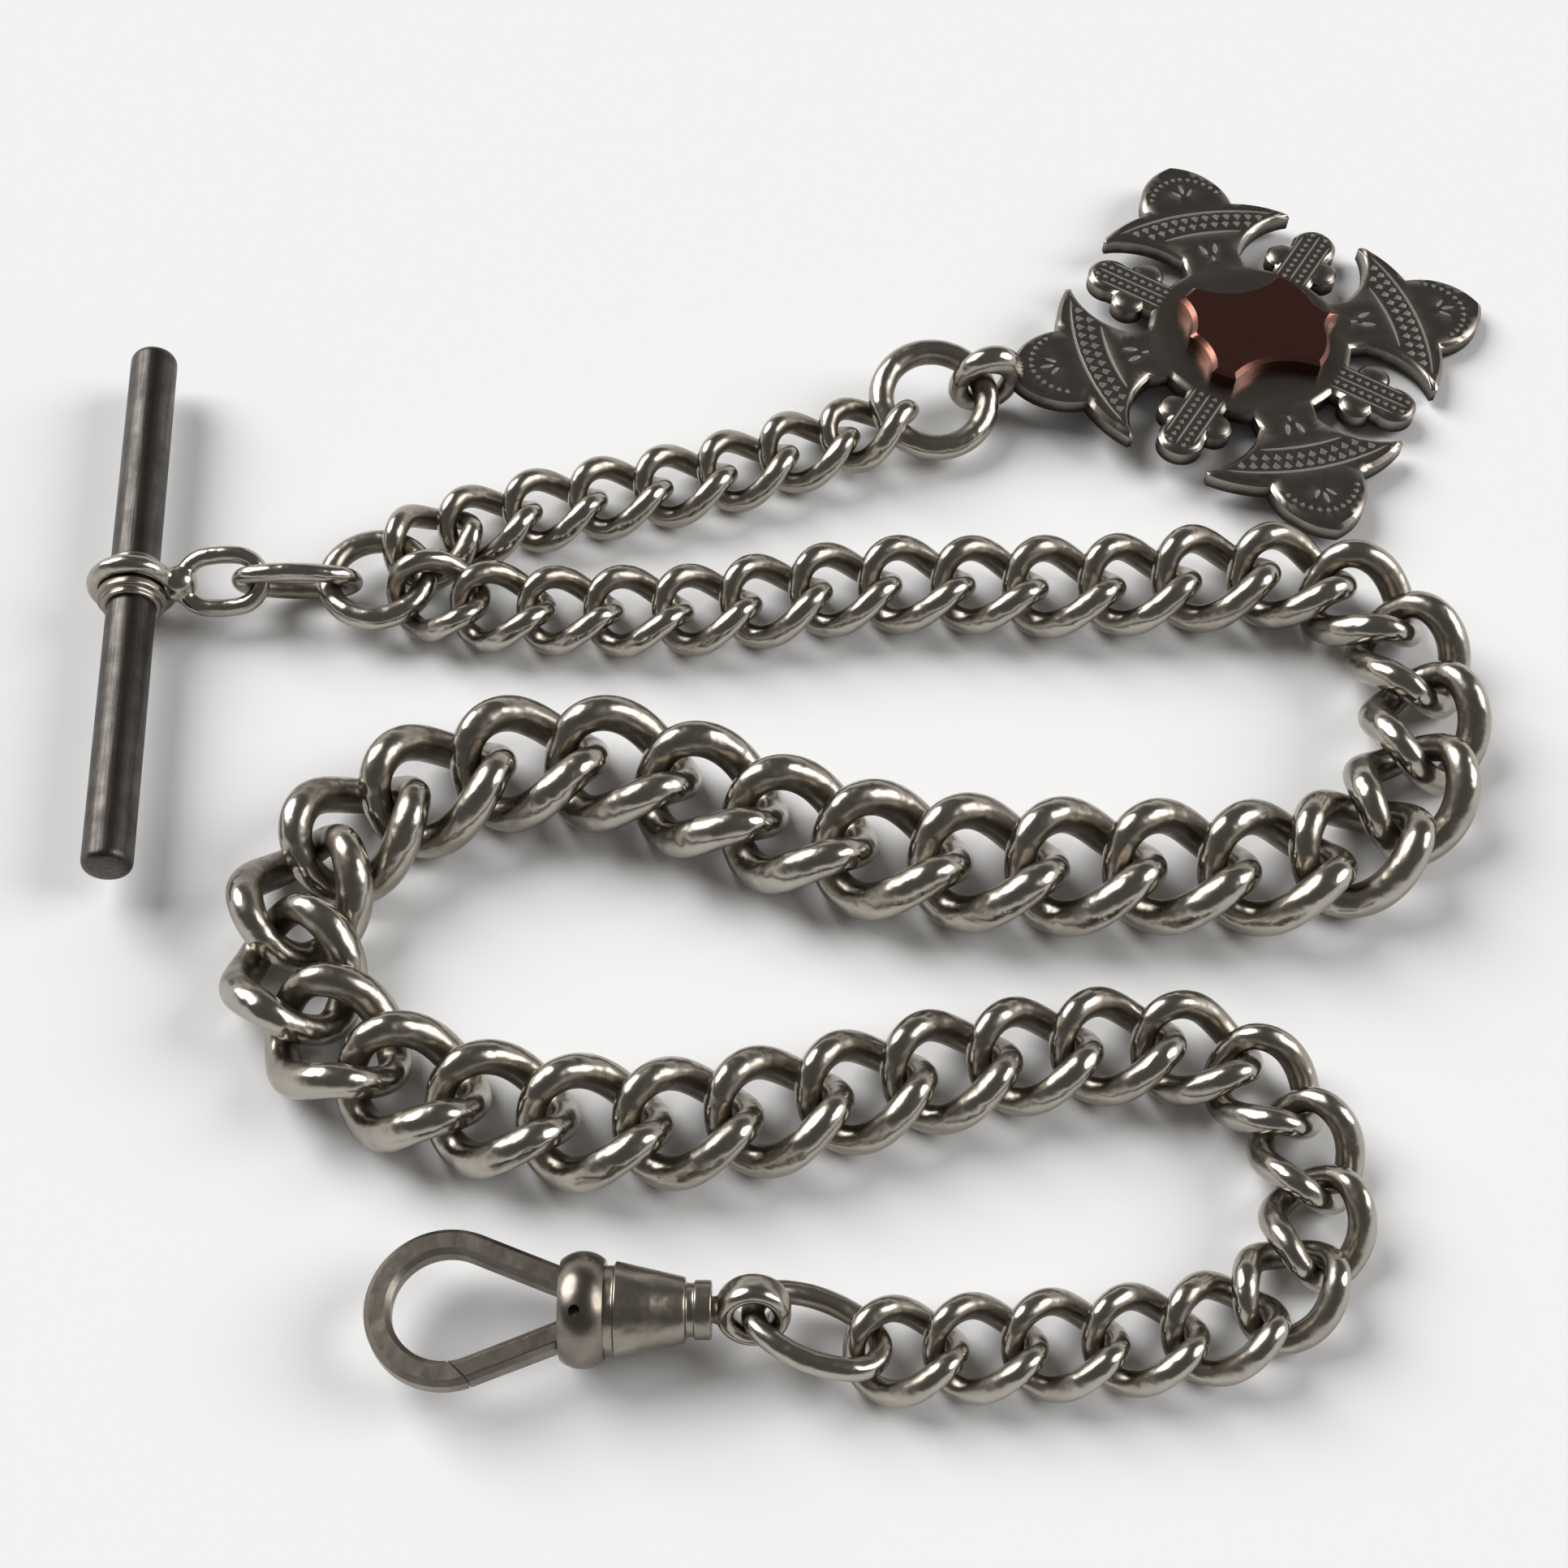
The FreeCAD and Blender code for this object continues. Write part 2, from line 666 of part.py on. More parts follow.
diagonal = Rotation(Vector(0, 0, 1), 45)
stem_half, stem_end = size("trefoil_stem_width") / 2, size("trefoil_end_distance")
corners = [(overlap, -stem_half), (stem_end, -stem_half), (stem_end, stem_half), (overlap, stem_half)]
turned_corners = [diagonal.multVec(Vector(x, y, 0)) for x, y in corners]
stem_outline = [(corner.x, corner.y) for corner in turned_corners]
trefoil = bevelled_pads(cross, "trefoil_stem", lambda sketch: outline(sketch, stem_outline), "sizes.fob_thickness")
side_distance, side_offset = size("trefoil_side_distance"), size("trefoil_side_offset")
for name, x, y, radius in (
    ("left_leaf", side_distance, side_offset, size("trefoil_side_radius")),
    ("right_leaf", side_distance, -side_offset, size("trefoil_side_radius")),
    ("end_leaf", stem_end, 0, size("trefoil_end_radius")),
):
    middle = diagonal.multVec(Vector(x, y, 0))
    leaf = bevelled_pads(
        cross, name, lambda sketch: circle(sketch, middle.x, middle.y, radius), "sizes.fob_thickness"
    )
    trefoil.extend(leaf)
four_times(cross, trefoil, "trefoils")

# The lobe towards the bail ends in a notch for the bail's wire.
notch_x = -size("bail_distance") + bail_reach
under_plate = Vector(notch_x, 0, -half_plate)
notch = primitive(
    "Part::Cylinder",
    "bail_notch",
    Placement(under_plate, Rotation()),
    Radius="sizes.bail_wire / 2",
    Height="sizes.fob_thickness * 2",
)
beyond_notch = primitive(
    "Part::Box",
    "beyond_notch",
    Placement(under_plate - Vector(size("bail_wire"), lobe_half, 0), Rotation()),
    Length="sizes.bail_wire",
    Width="sizes.lobe_half_width * 2",
    Height="sizes.fob_thickness * 2",
)
bail_seat = combine("Part::MultiFuse", "bail_seat", notch, beyond_notch)
plate_place = fob_place.multiply(Placement(Vector(0, 0, -half_plate), Rotation()))
keep(combine("Part::Cut", "fob_cross", cross, bail_seat), "fob_cross", plate_place)

# Cartouche: a raised shield, its point away from the bail, with two scallops and a peak at the other end
SHIELD = [
    (-4.7, 0),
    (-4.3, 3.5, -4.0, 1.7),
    (-2.9, 4.5),
    (3.4, 4.5, 0.2, 3.4),
    (5.1, 1.4, 4.55, 3.2),
    (6.5, 0, 5.6, 0.5),
]
cartouche = doc.addObject("PartDesign::Body", "fob_cartouche")
bevelled_pads(cartouche, "shield", lambda sketch: outline(sketch, both_halves(SHIELD)), "sizes.cartouche_height")
keep(cartouche, "fob_cartouche", fob_place.multiply(Placement(Vector(0, 0, half_plate), Rotation())))

# Swivel: its own x axis runs from the eye to the hook and its own z axis is up. An oval link, tilted so that
# it climbs from the last curb link, carries it.
last_link, last_heading = chain_links[-1], heading(chain_headings[-1])
swivel_axis_height = size("bead_diameter") / 2
oval_reach = (size("swivel_link_length") - size("swivel_link_wire")) / 2
oval_bearing = oval_reach - size("swivel_link_wire") / 2
oval_contact = chain_centres[-1] + last_heading * (last_link["bearing"] - ring_slack)
oval_centre = oval_contact + heading(SWIVEL_LINK_HEADING) * (oval_bearing - ring_slack)
oval_link("swivel_oval_link", "swivel_link", settled("swivel_oval_link", oval_centre))
eye_contact = oval_centre + heading(SWIVEL_LINK_HEADING) * oval_reach * math.cos(math.radians(SWIVEL_LINK_CLIMB))
swivel_centre = Vector(eye_contact.x, eye_contact.y, swivel_axis_height)
swivel_place = lying(swivel_centre, SWIVEL_HEADING)

# Eye: a thick band with rounded rims, on a shank whose head is held inside the barrel
eye_radius, eye_half, rounding = size("eye_diameter") / 2, size("eye_width") / 2, size("eye_rounding")
hole_radius = size("eye_hole") / 2
corner = rounding * (1 - math.sqrt(0.5))
eye_band = turned_profile(
    "eye_band",
    [
        (-eye_half, hole_radius + rounding, -eye_half + corner, hole_radius + corner),
        (-eye_half, eye_radius - rounding),
        (-eye_half + rounding, eye_radius, -eye_half + corner, eye_radius - corner),
        (eye_half - rounding, eye_radius),
        (eye_half, eye_radius - rounding, eye_half - corner, eye_radius - corner),
        (eye_half, hole_radius + rounding),
        (eye_half - rounding, hole_radius, eye_half - corner, hole_radius + corner),
        (-eye_half + rounding, hole_radius),
    ],
    Placement(Vector(0, 0, 0), Rotation(Vector(0, 0, 1), 90)),
    label=False,
)
eye_band.Placement = Placement(Vector(0, 0, 0), Rotation(Vector(0, 0, 1), 90))
shank_radius, head_radius = size("shank_diameter") / 2, size("shank_head_diameter") / 2
head_start, head_end = size("cavity_start") + size("shank_float"), size("cavity_end") - size("shank_float")
shank = turned_profile(
    "eye_shank",
    [
        (hole_radius + rounding, 0),
        (hole_radius + rounding, shank_radius),
        (head_start, shank_radius),
        (head_start, head_radius),
        (head_end, head_radius),
        (head_end, 0),
    ],
    Placement(),
    label=False,
)
eye_tilt = Placement(Vector(0, 0, 0), Rotation(Vector(1, 0, 0), size("eye_tilt")))
keep(combine("Part::MultiFuse", "swivel_eye", eye_band, shank), "swivel_eye", swivel_place.multiply(eye_tilt))

# Barrel: a collar, a groove and a cone, hollow where the head of the eye's shank turns
collar_radius, groove_radius = size("collar_diameter") / 2, size("groove_diameter") / 2
bore = shank_radius + size("shank_fit")
cavity = head_radius + size("shank_fit")
turned_profile(
    "swivel_barrel",
    [
        (size("collar_start"), bore),
        (size("collar_start"), collar_radius),
        (size("collar_end"), collar_radius),
        (size("collar_end"), groove_radius),
        (size("cone_start"), groove_radius),
        (size("cone_start"), size("cone_small_diameter") / 2),
        (size("cone_end"), size("cone_large_diameter") / 2),
        (size("cone_end"), size("bead_neck_diameter") / 2),
        (size("bead_start"), size("bead_neck_diameter") / 2),
        (size("bead_start"), 0),
        (size("cavity_end"), 0),
        (size("cavity_end"), cavity),
        (size("cavity_start"), cavity),
        (size("cavity_start"), bore),
    ],
    swivel_place,
)

# Hook: a drum with a bulged rim, and a square bar bent in the shape of a pear. The fixed arm leaves the drum on
# one side of the axis and the gate on the other; both run straight to the round end of the pear.
pin_x, pin_y = size("bead_end") - size("pin_depth"), size("pin_offset")
hook_radius = size("hook_radius")
hook_x = size("bead_end") + size("hook_length") - size("hook_bar") / 2 - hook_radius
to_hook = Vector(hook_x - pin_x, -pin_y, 0)
arm_slope = math.atan2(to_hook.y, to_hook.x) + math.asin(hook_radius / to_hook.Length)
round_start = math.pi / 2 + arm_slope
section_half, section_bevel = size("hook_bar") / 2, size("hook_bevel")
octagon = [
    (section_half - section_bevel, section_half),
    (section_half, section_half - section_bevel),
    (section_half, section_bevel - section_half),
    (section_half - section_bevel, -section_half),
    (section_bevel - section_half, -section_half),
    (-section_half, section_bevel - section_half),
    (-section_half, section_half - section_bevel),
    (section_bevel - section_half, section_half),
]


def round_point(angle):
    """A point of the pear's round end, at an angle from the far end of the hook."""
    return Vector(hook_x + hook_radius * math.cos(angle), hook_radius * math.sin(angle), 0)


def pear_bar(name, side, last_angle):
    """A square bar from a root at one side of the drum, straight and then round to the last angle."""
    path = doc.addObject("Sketcher::SketchObject", name + "_path")
    root, bend = Vector(pin_x, side * pin_y, 0), round_point(side * round_start)
    middle = round_point((side * round_start + last_angle) / 2)
    path.addGeometry(Part.LineSegment(root, bend), False)
    path.addGeometry(Part.Arc(bend, middle, round_point(last_angle)), False)
    section = doc.addObject("Sketcher::SketchObject", name + "_section")
    outline(section, octagon)
    along = (bend - root).normalize()
    section.Placement = Placement(root, Rotation(Vector(-along.y, along.x, 0), Vector(0, 0, 1), along, "XYZ"))
    bar = doc.addObject("Part::Sweep", name)
    bar.Sections = [section]
    bar.Spine = (path, ["Edge1", "Edge2"])
    bar.Solid = True
    bar.Transition = "Right corner"
    return bar


def tip_cutter(name, side):
    """A block beyond the slanted joint between the hook's tip and the gate, seen from one of the two."""
    turn = Rotation(Vector(0, 0, 1), size("hook_tip_angle") + size("hook_tip_slant") + 90 * side)
    reach = size("hook_bar") * 2
    block = primitive("Part::Box", name)
    block.Length, block.Width, block.Height = reach, reach * 2, reach * 2
    joint = round_point(math.radians(size("hook_tip_angle")))
    block.Placement = Placement(joint + turn.multVec(Vector(-size("gate_gap") / 2, -reach, -reach)), turn)
    return block


bead_rim, bead_face = size("bead_diameter") / 2, size("bead_face_diameter") / 2
bead_middle = (size("bead_start") + size("bead_end")) / 2
drum = turned_profile(
    "hook_drum",
    [
        (size("bead_start"), 0),
        (size("bead_start"), bead_face),
        (size("bead_end"), bead_face, bead_middle, bead_rim),
        (size("bead_end"), 0),
    ],
    Placement(),
    label=False,
)
tip_turn = math.radians(size("tip_overrun"))
tip_angle = math.radians(size("hook_tip_angle"))
fixed_arm = pear_bar("fixed_arm", -1, tip_angle + tip_turn)
gate_arm = pear_bar("gate_arm", 1, tip_angle - tip_turn)

slot_half = size("hook_bar") / 2 + size("gate_fit")
slot = primitive(
    "Part::Box",
    "gate_slot",
    Placement(Vector(pin_x - size("slot_depth"), size("slot_inner"), -slot_half), Rotation()),
    Length="sizes.slot_depth + sizes.pin_depth * 2",
    Width="sizes.slot_outer - sizes.slot_inner",
    Height="sizes.hook_bar + 2 * sizes.gate_fit",
)
on_pin = Placement(Vector(pin_x, pin_y, -size("bead_diameter")), Rotation())
pin_hole = primitive(
    "Part::Cylinder", "pin_hole", on_pin, Radius="sizes.pin_diameter / 2", Height="sizes.bead_diameter * 2"
)
hook_solid = combine("Part::MultiFuse", "hook_solid", drum, fixed_arm)
hook_cuts = combine("Part::MultiFuse", "hook_cuts", slot, pin_hole, tip_cutter("hook_tip_cutter", 1))
keep(combine("Part::Cut", "swivel_hook", hook_solid, hook_cuts), "swivel_hook", swivel_place)

# Gate, with a round root on its pin, the pin itself and the leaf spring beside the root
root_base = Vector(pin_x, pin_y, -size("hook_bar") / 2)
gate_root = primitive(
    "Part::Cylinder", "gate_root", Placement(root_base, Rotation()), Radius="sizes.gate_eye", Height="sizes.hook_bar"
)
gate_hole = primitive(
    "Part::Cylinder",
    "gate_hole",
    on_pin,
    Radius="sizes.pin_diameter / 2 + sizes.pin_fit",
    Height="sizes.bead_diameter * 2",
)
gate_solid = combine("Part::MultiFuse", "gate_solid", gate_arm, gate_root)
gate_cuts = combine("Part::MultiFuse", "gate_cuts", gate_hole, tip_cutter("gate_tip_cutter", -1))
keep(combine("Part::Cut", "swivel_gate", gate_solid, gate_cuts), "swivel_gate", swivel_place)
pin = primitive("Part::Cylinder", "gate_pin", Radius="sizes.pin_diameter / 2", Height="sizes.pin_length")
pin_start = Placement(Vector(pin_x, pin_y, -size("pin_length") / 2), Rotation())
keep(pin, "swivel_gate_pin", swivel_place.multiply(pin_start))
spring = primitive(
    "Part::Box",
    "gate_spring",
    Length="sizes.gate_spring_length",
    Width="sizes.gate_spring_thickness",
    Height="sizes.gate_spring_width",
)
spring_corner = Vector(
    pin_x - size("gate_eye"), size("slot_outer") - size("gate_spring_thickness"), -size("gate_spring_width") / 2
)
keep(spring, "swivel_gate_spring", swivel_place.multiply(Placement(spring_corner, Rotation())))

# The origin is the middle of the footprint of the whole chain, on the plane it lies on.
doc.recompute()
boxes = [thing.Shape.optimalBoundingBox(False, False) for thing in parts]
shift = Vector(
    -(min(box.XMin for box in boxes) + max(box.XMax for box in boxes)) / 2,
    -(min(box.YMin for box in boxes) + max(box.YMax for box in boxes)) / 2,
    -min(box.ZMin for box in boxes),
)
for thing in parts:
    place = thing.Placement
    thing.Placement = Placement(place.Base + shift, place.Rotation)
doc.recompute()

for thing in doc.Objects:
    if "Invalid" in thing.State or "Error" in thing.State:
        raise RuntimeError("%s did not compute: %s" % (thing.Name, thing.State))
os.makedirs("parts", exist_ok=True)
for thing in parts:
    if thing.Shape.isNull() or not thing.Shape.isValid() or not thing.Shape.Solids:
        raise RuntimeError("%s has no valid solid" % thing.Label)
    thing.Shape.exportStep("parts/%s.step" % thing.Label)
print("%d nodes, %d solids" % (len(parts), sum(len(thing.Shape.Solids) for thing in parts)))
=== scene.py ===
import json
import math

import bmesh
import bpy
import numpy as np
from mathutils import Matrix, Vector
from mathutils.geometry import delaunay_2d_cdt


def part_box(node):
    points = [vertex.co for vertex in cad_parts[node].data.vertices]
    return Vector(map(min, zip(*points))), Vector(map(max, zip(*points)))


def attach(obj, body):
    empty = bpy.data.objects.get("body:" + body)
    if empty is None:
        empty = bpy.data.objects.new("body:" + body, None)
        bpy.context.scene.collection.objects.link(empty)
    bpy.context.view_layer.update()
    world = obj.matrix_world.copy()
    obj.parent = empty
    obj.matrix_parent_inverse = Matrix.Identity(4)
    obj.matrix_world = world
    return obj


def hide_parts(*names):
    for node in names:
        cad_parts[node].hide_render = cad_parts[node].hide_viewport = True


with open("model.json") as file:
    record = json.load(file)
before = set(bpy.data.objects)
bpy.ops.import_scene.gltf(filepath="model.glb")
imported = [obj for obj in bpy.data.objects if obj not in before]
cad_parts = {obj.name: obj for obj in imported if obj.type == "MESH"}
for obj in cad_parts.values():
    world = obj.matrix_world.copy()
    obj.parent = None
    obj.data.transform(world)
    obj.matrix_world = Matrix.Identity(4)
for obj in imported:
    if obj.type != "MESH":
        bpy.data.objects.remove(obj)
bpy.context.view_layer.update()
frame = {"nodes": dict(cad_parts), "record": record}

# Table top: a plain board faced with matt white laminate, in front of a pale wall. Two broad soft lights, on
# the left and right, leave the ceiling dim, so polished silver is dark grey with a bright line on each side.
mm = 0.001


def linear(hex_colour):
    """An sRGB hex colour as linear RGBA: a dark step divided by 12.92, another to the power of 2.4."""
    steps = [int(hex_colour[i : i + 2], 16) / 255 for i in (1, 3, 5)]
    return [s / 12.92 if s <= 0.04045 else ((s + 0.055) / 1.055) ** 2.4 for s in steps] + [1.0]


def add(tree, kind, settings=None, **links):
    """A node with its settings. Each link is the name of an input, or _ and its number, with the socket that
    feeds it or the value that it holds."""
    node = tree.nodes.new(kind)
    for name, value in (settings or {}).items():
        setattr(node, name, value)
    for name, source in links.items():
        socket = node.inputs[int(name[1:]) if name[1:].isdigit() else name.replace("_", " ")]
        if isinstance(source, bpy.types.NodeSocket):
            tree.links.new(source, socket)
        else:
            socket.default_value = source
    return node


def new_material(name):
    """A material with no nodes yet, and its tree to fill."""
    material = bpy.data.materials.new(name)
    material.use_nodes = True
    material.node_tree.nodes.clear()
    return material, material.node_tree


def piece(name, vertices, faces, material, smooth=True):
    """A mesh object at the origin from points in metres."""
    mesh = bpy.data.meshes.new(name)
    mesh.from_pydata(np.asarray(vertices).tolist(), [], [list(map(int, face)) for face in faces])
    mesh.materials.append(material)
    mesh.polygons.foreach_set("use_smooth", np.full(len(mesh.polygons), smooth))
    mesh.update()
    thing = bpy.data.objects.new(name, mesh)
    bpy.context.scene.collection.objects.link(thing)
    return thing


def middle_of(node):
    """The middle of a CAD node's box, in metres."""
    low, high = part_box(node)
    return (np.array(low) + np.array(high)) / 2


chain_centre = middle_of("joining_ring") + np.array([26.8, -14.5, 0.0]) * mm
chain_centre[2] = 0.0

# Matt laminate scatters all its light: no gloss, so the shadows on it stay soft and neutral.
table_white, table = new_material("matt white laminate")
shader = add(table, "ShaderNodeBsdfPrincipled", Base_Color=linear("#f1f1f1"), Roughness=0.9)
shader.inputs["Specular IOR Level"].default_value = 0.0
add(table, "ShaderNodeOutputMaterial", Surface=shader.outputs[0])
reach, sunk = 1.5, 0.02 * mm
corners = [chain_centre + (x * reach, y * reach, -sunk) for x, y in ((-1, -1), (1, -1), (1, 1), (-1, 1))]
piece("table_top", corners, [(0, 1, 2, 3)], table_white, smooth=False)


def soft_light(name, offset, breadth, strength):
    """A broad, even light from the direction of an offset, as many degrees across as its breadth."""
    lamp = bpy.data.lights.new(name, "SUN")
    lamp.angle, lamp.energy = math.radians(breadth), strength
    holder = bpy.data.objects.new(name, lamp)
    bpy.context.scene.collection.objects.link(holder)
    holder.location = chain_centre + np.array(offset)
    x, y, z = np.array(offset) / np.linalg.norm(offset)
    holder.rotation_euler = (math.acos(z), 0, math.atan2(-y, -x) - math.pi / 2)


soft_light("left_soft_light", (-0.46, 0.34, 0.48), 44, 2.9)
soft_light("right_soft_light", (0.56, 0.06, 0.36), 36, 1.75)

# The wall is pale to the camera, and silver shows its lowest 10 to 24 degrees; the rest of the room is dim.
room = bpy.data.worlds.new("dim room with a pale wall")
room.use_nodes = True
room.node_tree.nodes.clear()
gaze = add(room.node_tree, "ShaderNodeTexCoord").outputs["Generated"]
height = add(room.node_tree, "ShaderNodeSeparateXYZ", Vector=gaze).outputs[2]
fade = dict(From_Min=0.16, From_Max=0.4, To_Min=1.0, To_Max=0.0)
wall = add(room.node_tree, "ShaderNodeMapRange", Value=height, **fade)
kind = add(room.node_tree, "ShaderNodeLightPath")
shown = add(
    room.node_tree,
    "ShaderNodeMath",
    {"operation": "MULTIPLY_ADD", "use_clamp": True},
    _0=wall.outputs[0],
    _1=kind.outputs["Is Glossy Ray"],
    _2=kind.outputs["Is Camera Ray"],
)
colour = add(
    room.node_tree,
    "ShaderNodeMix",
    {"data_type": "RGBA"},
    Factor=shown.outputs[0],
    _6=linear("#656361"),
    _7=linear("#f1f1f1"),
)
air = add(room.node_tree, "ShaderNodeBackground", Color=colour.outputs[2], Strength=1.0)
add(room.node_tree, "ShaderNodeOutputWorld", Surface=air.outputs[0])
bpy.context.scene.world = room

camera = bpy.data.objects.new("camera", bpy.data.cameras.new("camera"))
camera.data.lens, camera.data.sensor_width = 55.9, 36.0
camera.data.clip_start = 0.01
camera.location = chain_centre + np.array([0.0, -84.2, 129.6]) * mm
camera.rotation_euler = (math.radians(33), 0, 0)
bpy.context.scene.collection.objects.link(camera)
bpy.context.scene.camera = camera
bpy.context.scene.view_settings.view_transform = "Standard"

# Curb links of drawn sterling silver, soldered, twisted and tumbled until they lie flat. Each one is round
# wire whose oval turns from one end to the other; the ends are worn thin where they rub on their neighbours.
# The silver is lighter on the outer side of each wire and warm grey on its inner side, towards the link's
# hole.


def grid_mesh(points, close_u=False, close_v=False):
    """Vertices and quads of a grid of points, joined up along either way where it closes."""
    rows, columns = points.shape[:2]
    index = np.arange(rows * columns).reshape(rows, columns)
    if close_u:
        index = np.vstack([index, index[:1]])
    if close_v:
        index = np.hstack([index, index[:, :1]])
    quads = np.stack([index[:-1, :-1], index[1:, :-1], index[1:, 1:], index[:-1, 1:]], axis=-1)
    return points.reshape(-1, 3), quads.reshape(-1, 4)


def polished_silver(name, bright, dull, smoothest, roughest, dents=0.2):
    """Silver, tarnished in clouds of about 2 mm and darker where the value stored on a piece's vertices is
    high, lighter where it is below zero, which on the fob's plate paints shade at the foot and a highlight on
    the rim; with shallow dents of about 1.6 mm, and fine wear, which is drawn 0.2 mm coarse so that it shows."""
    material, tree = new_material(name)
    place = add(tree, "ShaderNodeTexCoord").outputs["Object"]
    cloud = add(tree, "ShaderNodeTexNoise", Vector=place, Scale=450.0, Detail=6.0, Roughness=0.65)
    # The value stored on the vertices moves the silver towards its dull colour as tarnishing; on the fob's
    # plate it also paints shade at the foot, and moves the rim the other way as a painted highlight.
    stored_tarnish_and_shade = add(tree, "ShaderNodeAttribute", {"attribute_name": "tarnish_and_painted_shade"})
    stretch, total = {"operation": "MULTIPLY_ADD"}, {"operation": "ADD", "use_clamp": True}
    speckled = add(tree, "ShaderNodeMath", stretch, _0=cloud.outputs[0], _1=1.3, _2=-0.55)
    tarnish_and_shade_share = add(tree, "ShaderNodeMath", total, _0=speckled.outputs[0], _1=stored_tarnish_and_shade.outputs["Fac"])
    shades = dict(_6=linear(bright), _7=linear(dull))
    colour = add(tree, "ShaderNodeMix", {"data_type": "RGBA"}, Factor=tarnish_and_shade_share.outputs[0], **shades)
    rough = add(tree, "ShaderNodeMapRange", Value=tarnish_and_shade_share.outputs[0], To_Min=smoothest, To_Max=roughest)
    dent = add(tree, "ShaderNodeTexNoise", Vector=place, Scale=620.0, Detail=1.5)
    dented = add(tree, "ShaderNodeBump", Strength=1.0, Distance=dents * mm, Height=dent.outputs[0])
    wear = add(tree, "ShaderNodeTexNoise", Vector=place, Scale=5000.0, Detail=2.0)
    rubbed = dict(Strength=0.25, Distance=0.01 * mm, Height=wear.outputs[0])
    worn = add(tree, "ShaderNodeBump", Normal=dented.outputs[0], **rubbed)
    shader = add(
        tree,
        "ShaderNodeBsdfPrincipled",
        Base_Color=colour.outputs[2],
        Metallic=1.0,
        Roughness=rough.outputs[0],
        Normal=worn.outputs[0],
    )
    add(tree, "ShaderNodeOutputMaterial", Surface=shader.outputs[0])
    return material


# Tumbled sterling has a warm white shine with soft edges to its highlights, broken up by small dents.
silver = polished_silver("sterling silver, tumbled and polished", "#aca69c", "#786f63", 0.18, 0.4)


def solids_of(node):
    """Each solid of a CAD node by its centre and its own three axes, the longest way first: the mean and the
    principal directions of its surface, weighted by area, with touching triangles counted as one solid."""
    mesh = frame["nodes"][node].data
    mesh.calc_loop_triangles()
    points = np.zeros(len(mesh.vertices) * 3)
    mesh.vertices.foreach_get("co", points)
    points = points.reshape(-1, 3)
    triangles = np.zeros(len(mesh.loop_triangles) * 3, dtype=int)
    mesh.loop_triangles.foreach_get("vertices", triangles)
    same = np.unique(np.round(points / 1e-6).astype(np.int64), axis=0, return_inverse=True)[1].reshape(-1)
    corners = same[triangles].reshape(-1, 3)
    label = np.arange(same.max() + 1)
    while True:
        lowest = label[corners].min(axis=1)
        before = label.copy()
        for corner in range(3):
            np.minimum.at(label, corners[:, corner], lowest)
        label = label[label]
        if (label == before).all():
            break
    solids = []
    for number in np.unique(label[corners[:, 0]]):
        chosen = points[triangles.reshape(-1, 3)[label[corners[:, 0]] == number]]
        middles = chosen.mean(axis=1)
        areas = np.linalg.norm(np.cross(chosen[:, 1] - chosen[:, 0], chosen[:, 2] - chosen[:, 0]), axis=1)
        centre = (middles * areas[:, None]).sum(axis=0) / areas.sum()
        spread = (middles - centre) * np.sqrt(areas / areas.sum())[:, None]
        axes = np.linalg.eigh(spread.T @ spread)[1][:, ::-1]
        axes[:, 2] = np.cross(axes[:, 0], axes[:, 1])
        solids.append((centre, axes))
    return solids


def wire_loop(line, radius, around=28):
    """A closed tube along a closed line through its own origin: at each point a circle in the plane across
    the line, its first direction the one that points away from the origin."""
    ahead, behind = np.roll(line, -1, axis=0), np.roll(line, 1, axis=0)
    tangent = ahead - behind
    tangent /= np.linalg.norm(tangent, axis=1)[:, None]
    outward = line - tangent * (line * tangent).sum(axis=1)[:, None]
    outward /= np.linalg.norm(outward, axis=1)[:, None]
    across = np.cross(tangent, outward)
    turn = np.linspace(0, 2 * np.pi, around, endpoint=False)[None, :, None]
    circle = np.cos(turn) * outward[:, None] + np.sin(turn) * across[:, None]
    surface = line[:, None] + circle * np.asarray(radius).reshape(-1, 1, 1)
    return surface, np.cos(turn[..., 0]) * np.ones((len(line), 1))


def tarnish_and_painted_shade(thing, values):
    """Stores a value for each vertex that darkens the silver where it is high and lightens it below zero:
    tarnishing, and on the fob's plate also painted shade and a painted highlight.
    """
    attribute = thing.data.attributes.new("tarnish_and_painted_shade", "FLOAT", "POINT")
    attribute.data.foreach_set("value", np.asarray(values, dtype=np.float32).reshape(-1))


def curb_link_line(length, width, wire, steps=112):
    """x follows the cosine and y the sine of an angle, squared a little at the corners by the cosine and sine
    of its triple; then y turns into z by an angle that goes from +45 to -45 degrees with the cosine."""
    angle = np.linspace(0, 2 * np.pi, steps, endpoint=False)
    along, across, triple = np.cos(angle), np.sin(angle), np.cos(3 * angle)
    end_wire = wire * (1 - 0.175)
    twist = -np.radians(45) * (along - 0.12 * triple) / (1 - 0.12)
    x = (length - end_wire) / 2 * (along - 0.03 * triple) / (1 - 0.03)
    y = (width - wire) / 2 * (across + 0.03 * np.sin(3 * angle)) / (1 - 0.03)
    return np.stack([x, y * np.cos(twist), y * np.sin(twist)], axis=1), wire / 2 * (1 - 0.175 * along**2)


body_of = {node: body for body, nodes in frame["record"]["behaviour"]["bodies"].items() for node in nodes}


def dress(name, vertices, faces, material, node, slot="silver"):
    """A piece that stands for one CAD node and rides on that node's body."""
    thing = piece(name, vertices, faces, material)
    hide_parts(node)
    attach(thing, body_of[node])
    return thing


